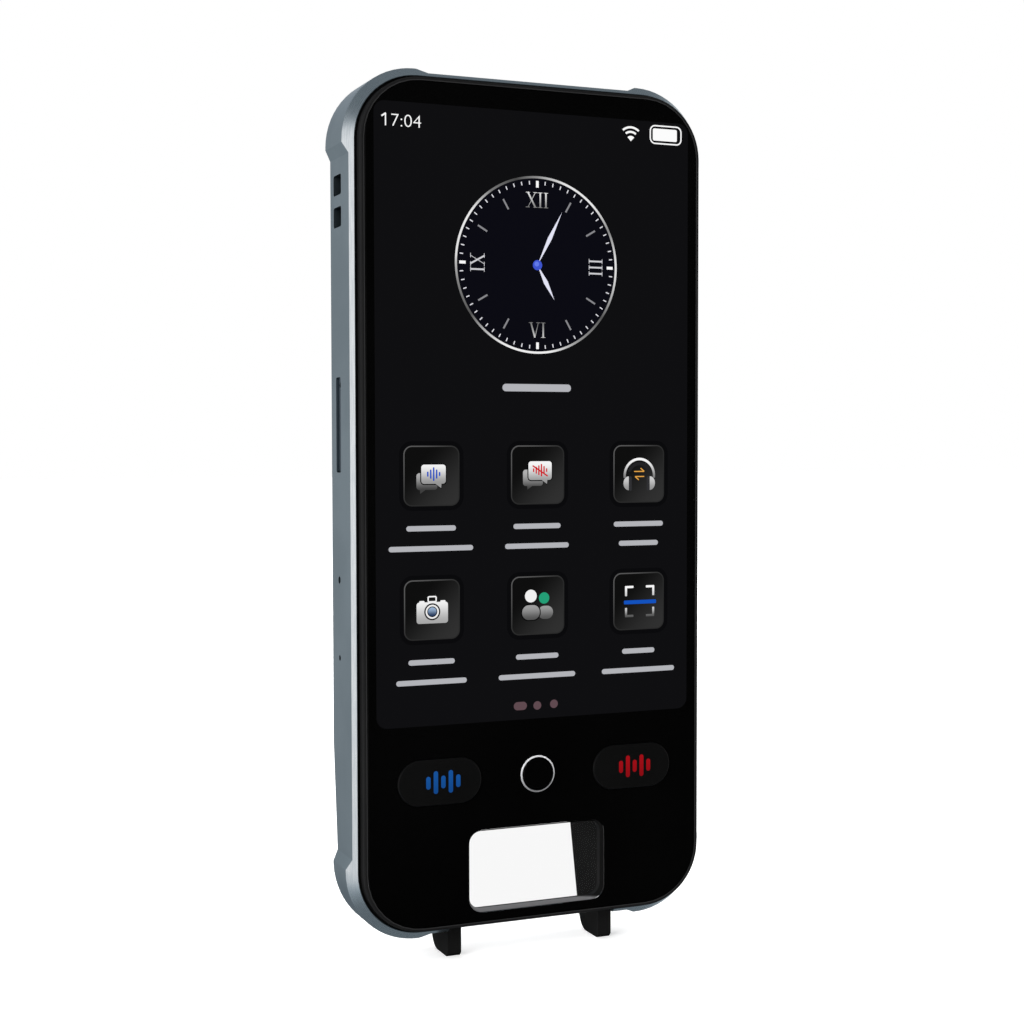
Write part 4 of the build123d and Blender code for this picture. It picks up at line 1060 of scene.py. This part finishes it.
@dataclass
class Tiles:
    """Six round-cornered tiles, and bars where their labels go."""

    columns: Triple = (-20.55, 0.12, 20.87)
    rows: Pair = (81.85, 57.95)
    size: Place = (10.6, 10.75)
    corner: float = 1.6
    rim: float = 0.22
    surround: float = 0.8  # width of the darker band round a tile
    label_gaps: Pair = (9.35, 12.95)  # from a tile's middle down to its two bars
    label_height: float = 0.95
    labels: tuple[tuple[Pair, ...], ...] = (  # widths of the two bars under each tile
        ((9.4, 16.0), (9.4, 12.7), (10.3, 8.2)),
        ((8.8, 13.4), (8.5, 15.3), (6.8, 15.2)),
    )
    label_columns: Triple = (-20.65, 0.0, 20.8)
    title: tuple[Place, Place, float] = ((0.0, 97.7), (13.6, 1.35), 0.66)  # middle, size and corner
    page_bar: tuple[Place, Place, float] = ((-3.4, 39.6), (2.6, 1.5), 0.75)
    page_dots: tuple[Place, ...] = ((0.0, 39.5), (3.35, 39.6))
    page_dot: float = 0.78

    def build(self) -> None:
        """Build the tiles, the label bars and the page marks."""
        (first, second, _), (upper, lower) = self.columns, self.rows
        light = {
            "start": (across(first - self.size[0] / 2), level(upper + self.size[1] / 2)),
            "pitch": (across(second) - across(first), level(upper) - level(lower)),
            "size": self.size,
        }
        layers = (
            ("tile_surround", Layer.DIAL, plain("tile surround", 9, 9, 11), self.surround, 0.0),
            ("tiles", Layer.TILE, TileLight("tile", (13, 48), (0.5, 1.9), **light), 0.0, 0.0),
            ("tile_edges", Layer.RIM, TileLight("tile edge", (88, 42), (0.15, 1.1), **light), 0.0, self.rim),
        )
        for name, layer, finish, edge, rim in layers:
            with Draft(name, layer, finish) as draft:
                for place in product(self.columns, self.rows):
                    draft.plate(place, grown(self.size, edge), self.corner + edge)
                    if rim:
                        draft.hollow(rim)
        with Draft("label_bars", Layer.TILE, plain("label grey", 178, 179, 184)) as draft:
            for height, labels in zip(self.rows, self.labels):
                for x, widths in zip(self.label_columns, labels):
                    for width, gap in zip(widths, self.label_gaps):
                        draft.plate((x, height - gap), (width, self.label_height), self.label_height / 2)
            draft.plate(*self.title)
        with Draft("page_marks", Layer.TILE, plain("page mark", 96, 74, 80)) as draft:
            draft.plate(*self.page_bar)
            for place in self.page_dots:
                draft.disc(place, self.page_dot, 32)


@dataclass
class Pictograms:
    """Plain signs on the tiles: speech, speech struck out, headphones, camera, people and a scan frame."""

    outline: float = 0.2  # width of the dark gap round a shape that stands in front of another
    bubbles: tuple[Place, Place] = ((4.63, 3.42), (3.95, 2.98))  # sizes of the front and the back bubble
    voice_bars: tuple[float, ...] = (0.9, 1.64, 2.44, 1.64, 0.74)
    struck_bars: tuple[float, ...] = (0.7, 1.3, 1.8, 2.3, 1.5, 0.7)
    phones: Place = (20.95, 81.55)
    camera: Place = (-20.54, 57.6)
    chest: Place = (-1.28, 56.68)
    chest_size: Place = (3.5, 2.7)
    black: Lit = field(default_factory=lambda: plain("pictogram gap", 6, 6, 7))

    def build(self) -> None:
        """Build all six."""
        bubbles = (
            ("speech", (-20.2, 82.15), (-21.45, 80.86), (-18.67, 79.7), (-22.81, 78.7)),
            ("plain_speech", (0.58, 82.62), (-0.84, 81.33), (2.04, 80.2), (-2.02, 79.2)),
        )
        red = plain("voice red", 205, 22, 34)
        bars = (
            (plain("voice blue", 34, 78, 190), (-21.3, 82.17), 0.563, 0.28, self.voice_bars),
            (red, (-0.72, 82.7), 0.52, 0.26, self.struck_bars),
        )
        for (name, *places), (finish, (x, height), step, width, sizes) in zip(bubbles, bars):
            self.speech(name, *places)
            with Draft(name + "_bars", Layer.MARK, finish) as draft:
                for index, tall in enumerate(sizes):
                    draft.plate((x + step * index, height), (width, tall), width / 2 - 0.01)
        with Draft("plain_speech_stroke", Layer.TOP, red) as draft:
            draft.line((-0.95, 83.55), (2.1, 81.6), 0.26, 0.12)
        self.headphones()
        self.photo_camera()
        self.people()
        self.scan_frame()

    def speech(self, name: str, front: Place, back: Place, front_tail: Place, back_tail: Place) -> None:
        """Lay out two speech bubbles, one behind the other, each with a three-sided tail.

        Args:
            name: The start of the pieces' names.
            front: The middle of the front bubble.
            back: The middle of the back bubble.
            front_tail: The tip of the front bubble's tail.
            back_tail: The tip of the back bubble's tail.
        """
        front_size, back_size = self.bubbles
        slate, white = fade("speech slate", 176, 62, 82.6, 79.2), fade("speech white", 246, 150, 84.2, 80.4)
        for part, layer, finish, middle, size, tail, edge in (
            ("back", Layer.BEHIND, slate, back, back_size, back_tail, 0.0),
            ("gap", Layer.GAP, self.black, front, front_size, front_tail, self.outline),
            ("front", Layer.FRONT, white, front, front_size, front_tail, 0.0),
        ):
            with Draft(f"{name}_{part}", layer, finish) as draft:
                draft.plate(middle, grown(size, edge), 0.55 + edge)
                side = math.copysign(1.0, tail[0] - middle[0])
                root = (tail[0] - side * 0.45, tail[1] + 0.75)
                draft.disc(root, 0.85 + edge, 3)
                draft.turn(root, 180.0 - side * 25.0)

    def headphones(self) -> None:
        """Lay out headphones with two arrows between the cups."""
        x, height = self.phones
        band = fade("band grey", 250, 120, 84.8, 81.0)
        lining = plain("lining grey", 34, 34, 36)
        for name, layer, finish, radius, width, cut in (
            ("headphone_band", Layer.FRONT, band, 3.3, 0.46, -0.45),
            ("headphone_lining", Layer.BEHIND, lining, 2.5, 0.6, 0.75),
        ):
            with Draft(name, layer, finish) as draft:
                draft.disc(self.phones, radius, 64)
                draft.hollow(width)
                draft.trim((x, height + cut), 180.0)
        with Draft("headphone_pads", Layer.GAP, plain("pad grey", 48, 48, 51)) as draft:
            for place in ((19.05, 80.05), (22.81, 80.05)):
                draft.plate(place, (0.6, 2.7), 0.28)
        with Draft("headphone_shells", Layer.FRONT, fade("shell grey", 205, 150, 81.2, 79.0)) as draft:
            for place, away in (((18.72, 80.1), 90.0), ((23.14, 80.1), -90.0)):
                draft.disc(place, 1.15, 40, (0.95, 1.12))
                draft.trim(place, away)
        with Draft("headphone_arrows", Layer.MARK, plain("arrow orange", 230, 166, 72)) as draft:
            for tail, tip, hook in (
                ((19.85, 82.3), (21.95, 82.3), (21.2, 82.92)),
                ((21.95, 81.35), (20.05, 81.35), (20.8, 80.73)),
            ):
                draft.line(tail, tip, 0.2)
                draft.line(tip, hook, 0.2)

    def photo_camera(self) -> None:
        """Lay out a camera."""
        with Draft("camera_sign", Layer.FRONT, fade("lower white", 250, 168, 60.4, 55.5)) as draft:
            draft.plate((-20.52, 57.42), (5.95, 3.8), 0.5)
            for x in (-22.5, -18.5):
                draft.plate((x, 59.42), (1.0, 0.35), 0.17)
            draft.plate((-20.55, 59.85), (1.75, 1.15), 0.3)
            draft.hollow(0.24)
        lens = Lit("lens blue", shade(150, 175, 205), shade(40, 60, 95), level(58.3), level(56.9))
        for part, layer, finish, radius, edge in (
            ("gap", Layer.MARK, plain("lens gap", 8, 8, 8), 1.52, 0.0),
            ("ring", Layer.TOP, plain("lens ring", 238, 238, 238), 1.26, 0.3),
            ("lens", Layer.TOP, lens, 0.8, 0.0),
        ):
            with Draft("camera_sign_" + part, layer, finish) as draft:
                draft.disc(self.camera, radius)
                if edge:
                    draft.hollow(edge)

    def people(self) -> None:
        """Lay out two people as plain heads and shoulders."""
        grey = fade("people grey", 158, 84, 58.0, 55.4)
        green, white = plain("head green", 36, 158, 118), plain("head white", 240, 240, 240)
        for side, layer, head, radius, finish, chest, size in (
            ("right", Layer.BEHIND, (1.37, 59.25), 1.04, green, (1.66, 56.6), (3.0, 2.4)),
            ("left", Layer.FRONT, (-1.3, 59.7), 1.17, white, self.chest, self.chest_size),
        ):
            with Draft("person_head_" + side, layer, finish) as draft:
                draft.disc(head, radius)
            with Draft("person_body_" + side, layer, grey) as draft:
                draft.plate(chest, size, 1.3)
        with Draft("person_gap", Layer.GAP, self.black) as draft:
            draft.plate(self.chest, grown(self.chest_size, self.outline), 1.4)

    def scan_frame(self) -> None:
        """Lay out four corner brackets and a bar across them."""
        white, grey = fade("bracket white", 250, 205, 60.7, 58.9), fade("bracket grey", 205, 88, 56.8, 55.1)
        for part, finish, outer, inner in (("upper", white, 60.65, 58.95), ("lower", grey, 55.2, 56.75)):
            reach = math.copysign(0.2, outer - inner)
            with Draft("scan_brackets_" + part, Layer.FRONT, finish) as draft:
                for x, side in ((17.98, 1.0), (24.12, -1.0)):
                    draft.line((x, outer), (x + 1.75 * side, outer), 0.42, 0.1)
                    draft.line((x + 0.2 * side, outer + reach), (x + 0.2 * side, inner), 0.42, 0.1)
        with Draft("scan_bar", Layer.MARK, plain("scan blue", 18, 82, 190)) as draft:
            draft.line((17.75, 57.78), (24.5, 57.78), 0.72, 0.2)


# Device pieces that get more than a finish


@dataclass
class FrameBand:
    """The metal band, with its front chamfer cut bright."""

    smooth: float = math.radians(16)
    front: float = -2.4  # the chamfer lies in front of this depth, in millimetres
    steep: Pair = (0.585, 0.645)  # how far the chamfer's faces look forward

    def build(self) -> None:
        """Copy the band, smooth it and give its chamfer a finish of its own."""
        band = self.merged_copy()
        hand_over(band, METAL)
        band.data.materials.append(CUT_EDGE.material())
        low, high = self.steep
        for face in band.data.polygons:
            cut = low < -face.normal.y < high and face.center.y < self.front * MM
            face.material_index = 1 if cut else 0
        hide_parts("mid_frame")

    def merged_copy(self) -> bpy.types.Object:
        """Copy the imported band, merge its loose triangles and smooth it.

        Returns:
            The copy.
        """
        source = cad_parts["mid_frame"]
        band = bpy.data.objects.new("frame_band", source.data.copy())
        bpy.context.scene.collection.objects.link(band)
        bpy.ops.object.select_all(action="DESELECT")
        band.select_set(True)
        bpy.context.view_layer.objects.active = band
        if band.data.has_custom_normals:
            bpy.ops.mesh.customdata_custom_splitnormals_clear()
        bpy.ops.object.mode_set(mode="EDIT")
        bpy.ops.mesh.select_all(action="SELECT")
        bpy.ops.mesh.remove_doubles(threshold=DOUBLES)
        bpy.ops.object.mode_set(mode="OBJECT")
        bpy.ops.object.shade_smooth_by_angle(angle=self.smooth)
        weighted = band.modifiers.new("even shading", "WEIGHTED_NORMAL")
        weighted.keep_sharp = True
        bpy.ops.object.modifier_apply(modifier=weighted.name)
        return band


@dataclass
class FaceEdges:
    """A painted highlight line round the glass, and a painted highlight on the polished edge that shows in
    the scan window.
    """

    rim_width: float = 0.2
    glass_corner: float = 10.55
    window_middle: Place = (0.0, 9.9)
    window_size: Place = (27.1, 15.1)
    window_corner: float = 2.6
    edge_width: float = 0.42
    edge_share: float = 0.97  # of the edge's width that its opening is shifted up and to the left
    highlight_run: Pair = (2.1, 1.6)  # painted highlight: dark above and bright below, over the window's foot
    highlight_lean: float = -0.12

    def build(self) -> None:
        """Lay both."""
        width, tall = (GLASS_HIGH.x - GLASS_LOW.x) / MM, (GLASS_HIGH.z - GLASS_LOW.z) / MM
        middle = (0.0, (GLASS_LOW.z - FACE_FOOT) / MM + tall / 2)
        # Painted highlight: a lighter line along the glass edge.
        line = Plastic("rim highlight line", (0.021, 0.021, 0.0215), (0.024, 0.024, 0.0245), 0.45, 0.08, 5200.0, 0.05)
        with Draft("face_rim_highlight", Layer.GROUND, line, "black_plastic", exact=True) as draft:
            draft.plate(middle, grown((width, tall), self.rim_width), self.glass_corner + self.rim_width)
            draft.hollow(self.rim_width)
        foot = FACE_FOOT + (self.window_middle[1] - self.window_size[1] / 2) * MM
        # Painted highlight: the pane edge is made bright low down and towards the left, and dark above.
        high, low = (foot + height * MM for height in self.highlight_run)
        dark, bright = (0.0075, 0.0075, 0.0075), (0.15, 0.15, 0.155)
        edge = Satin("polished pane edge with painted highlight", dark, bright, high, low, self.highlight_lean, polish=0.02)
        with Draft("window_edge_highlight", Layer.RECESS, edge, "clear_pane", exact=True, thickness=2.0) as draft:
            draft.plate(self.window_middle, self.window_size, self.window_corner)
            shift = self.edge_share * self.edge_width
            draft.hollow(self.edge_width, (-shift, shift))


# Studio


@dataclass
class Studio:
    """Floor, soft lamps, a light surround with a dark front, and the camera."""

    floor_side: float = 8.0
    floor_colour: Colour = (0.86, 0.86, 0.86)
    floor_glow: Pair = (0.45, 0.9)  # near the object and far away
    floor_reach: Pair = (0.25, 1.6)
    ambient: float = 0.55
    surround: float = 1.0
    surround_dark: float = 0.05
    surround_above: float = 0.19
    surround_below: float = 0.18
    surround_tint: Colour = (0.75, 0.91, 1.02)  # of its top and bottom
    above_reach: Pair = (0.22, 0.6)  # rise of its bright band, as a share of its distance
    below_reach: Pair = (0.05, 0.8)
    flag_turn: float = math.radians(25)  # the dark front, to the right of straight ahead
    flag_reach: Pair = (0.7, 0.93)
    spot_side: Triple = (0.12, 0.92, 0.38)  # a brighter patch, high behind
    spot_light: float = 0.8
    spot_reach: Pair = (0.95, 0.985)
    lamps: tuple[tuple[str, Triple, float], ...] = (  # name, place and watts
        ("left lamp", (-0.75, -0.35, 0.45), 7.0),
        ("right lamp", (0.7, 0.05, 0.5), 5.0),
        ("back lamp", (-0.1, 0.8, 0.6), 5.0),
    )
    lamp_side: float = 0.5
    lamp_aim: Triple = (0.0, 0.0, 0.08)
    lens: float = 59.72
    sensor: float = 36.0
    camera_place: Triple = (-0.12465, -0.29175, 0.088)  # height over the face's foot
    camera_pitch: float = math.radians(-2.397)
    camera_yaw: float = math.radians(-22.858)
    camera_roll: float = math.radians(-0.096)

    def build(self) -> None:
        """Build the whole studio."""
        self.floor()
        self.world()
        self.hang_lamps()
        self.camera()
        LOG.info("studio is set")

    def floor(self) -> None:
        """Lay the pale floor that keeps the object's shadow."""
        bpy.ops.mesh.primitive_plane_add(size=self.floor_side)
        floor = bpy.context.object
        floor.name = "floor"
        material = bpy.data.materials.new("pale floor")
        material.use_nodes = True
        material.node_tree.nodes.clear()
        sheet = Sheet(material.node_tree)
        path = sheet.add("LightPath").outputs
        far = sheet.add("VectorMath", sheet.add("TexCoord").outputs["Object"], operation="LENGTH")
        strength = sheet.span(far.outputs["Value"], *self.floor_reach, *self.floor_glow)
        seen = sheet.math("MULTIPLY", path["Is Camera Ray"], strength)
        glow = sheet.add("Emission", WHITE_LIGHT, seen)
        matte = sheet.add("BsdfDiffuse", self.floor_colour)
        both = sheet.add("AddShader", matte.outputs[0], glow.outputs[0])
        clear = sheet.add("Emission", WHITE_LIGHT, 1.0)
        mixed = sheet.add("MixShader", path["Is Transmission Ray"], both.outputs[0], clear.outputs[0])
        sheet.add("OutputMaterial", mixed.outputs[0])
        floor.data.materials.append(material)
        floor.visible_glossy = False

    def world(self) -> None:
        """Surround the object with light that the camera sees as white and gloss sees as a low band."""
        world = bpy.data.worlds.new("studio")
        bpy.context.scene.world = world
        world.use_nodes = True
        world.node_tree.nodes.clear()
        sheet = Sheet(world.node_tree)
        path = sheet.add("LightPath").outputs
        x, y, z = sheet.xyz(sheet.add("TexCoord").outputs["Generated"])
        fall = sheet.math("MULTIPLY", z, -1.0)
        above = sheet.span(z, *self.above_reach, self.surround, self.surround_above)
        below = sheet.span(fall, *self.below_reach, self.surround, self.surround_below)
        band = sheet.math("MULTIPLY", above, below)
        tinted = sheet.span(sheet.math("ABSOLUTE", z), *self.above_reach, 0.0, path["Is Glossy Ray"])
        tint = sheet.blend(tinted, WHITE_LIGHT, self.surround_tint)
        ahead = sheet.along((x, y), (math.sin(self.flag_turn), -math.cos(self.flag_turn)))
        open_side = sheet.span(ahead, *self.flag_reach, 1.0, self.surround_dark)
        patch = sheet.span(sheet.along((x, y, z), self.spot_side), *self.spot_reach, 0.0, self.spot_light)
        gloss = sheet.math("MULTIPLY_ADD", band, open_side, patch)
        seen = sheet.math("MAXIMUM", path["Is Camera Ray"], path["Is Transmission Ray"])
        unseen = sheet.blend(path["Is Glossy Ray"], self.ambient, gloss, "FLOAT")
        light = sheet.add("Background", tint, sheet.blend(seen, unseen, 1.0, "FLOAT"))
        sheet.add("OutputWorld", light.outputs[0])

    def hang_lamps(self) -> None:
        """Hang the soft square lamps, which gloss does not see."""
        for name, place, power in self.lamps:
            bpy.ops.object.light_add(type="AREA", location=place)
            lamp = bpy.context.object
            lamp.name = name
            lamp.data.shape = "SQUARE"
            lamp.data.size = self.lamp_side
            lamp.data.energy = power
            lamp.visible_glossy = False
            aim = Vector(self.lamp_aim) - Vector(place)
            lamp.rotation_euler = aim.to_track_quat("-Z", "Y").to_euler()

    def camera(self) -> None:
        """Set the camera up."""
        x, y, height = self.camera_place
        bpy.ops.object.camera_add(location=(x, y, height + FACE_FOOT))
        camera = bpy.context.object
        camera.name = "camera"
        turn = Matrix.Rotation(self.camera_yaw, 4, "Z") @ Matrix.Rotation(QUARTER + self.camera_pitch, 4, "X")
        camera.rotation_euler = (turn @ Matrix.Rotation(self.camera_roll, 4, "Z")).to_euler()
        camera.data.lens = self.lens
        camera.data.sensor_width = self.sensor
        camera.data.clip_start = 0.01
        camera.data.clip_end = 50.0
        bpy.context.scene.camera = camera
        bpy.context.scene.view_settings.view_transform = "Standard"


def restyle_nodes() -> None:
    """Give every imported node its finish."""
    for finish, names in FINISHED_NODES.items():
        for name in names:
            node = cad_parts[name]
            if not node.material_slots:
                node.data.materials.append(None)
            for slot in node.material_slots:
                slot.material = finish.material()
            LOG.info("%s: %s", name, finish.name)


def main() -> None:
    """Build the studio and dress the translator."""
    logging.basicConfig(level=logging.INFO, format="%(name)s: %(message)s")
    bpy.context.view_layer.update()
    bpy.ops.object.select_all(action="DESELECT")
    Studio().build()
    restyle_nodes()
    for part in (FrameBand(), FaceEdges(), ScreenGround(), StatusRow(), ClockFace(), Tiles(), Pictograms()):
        part.build()


if __name__ == "__main__":
    main()
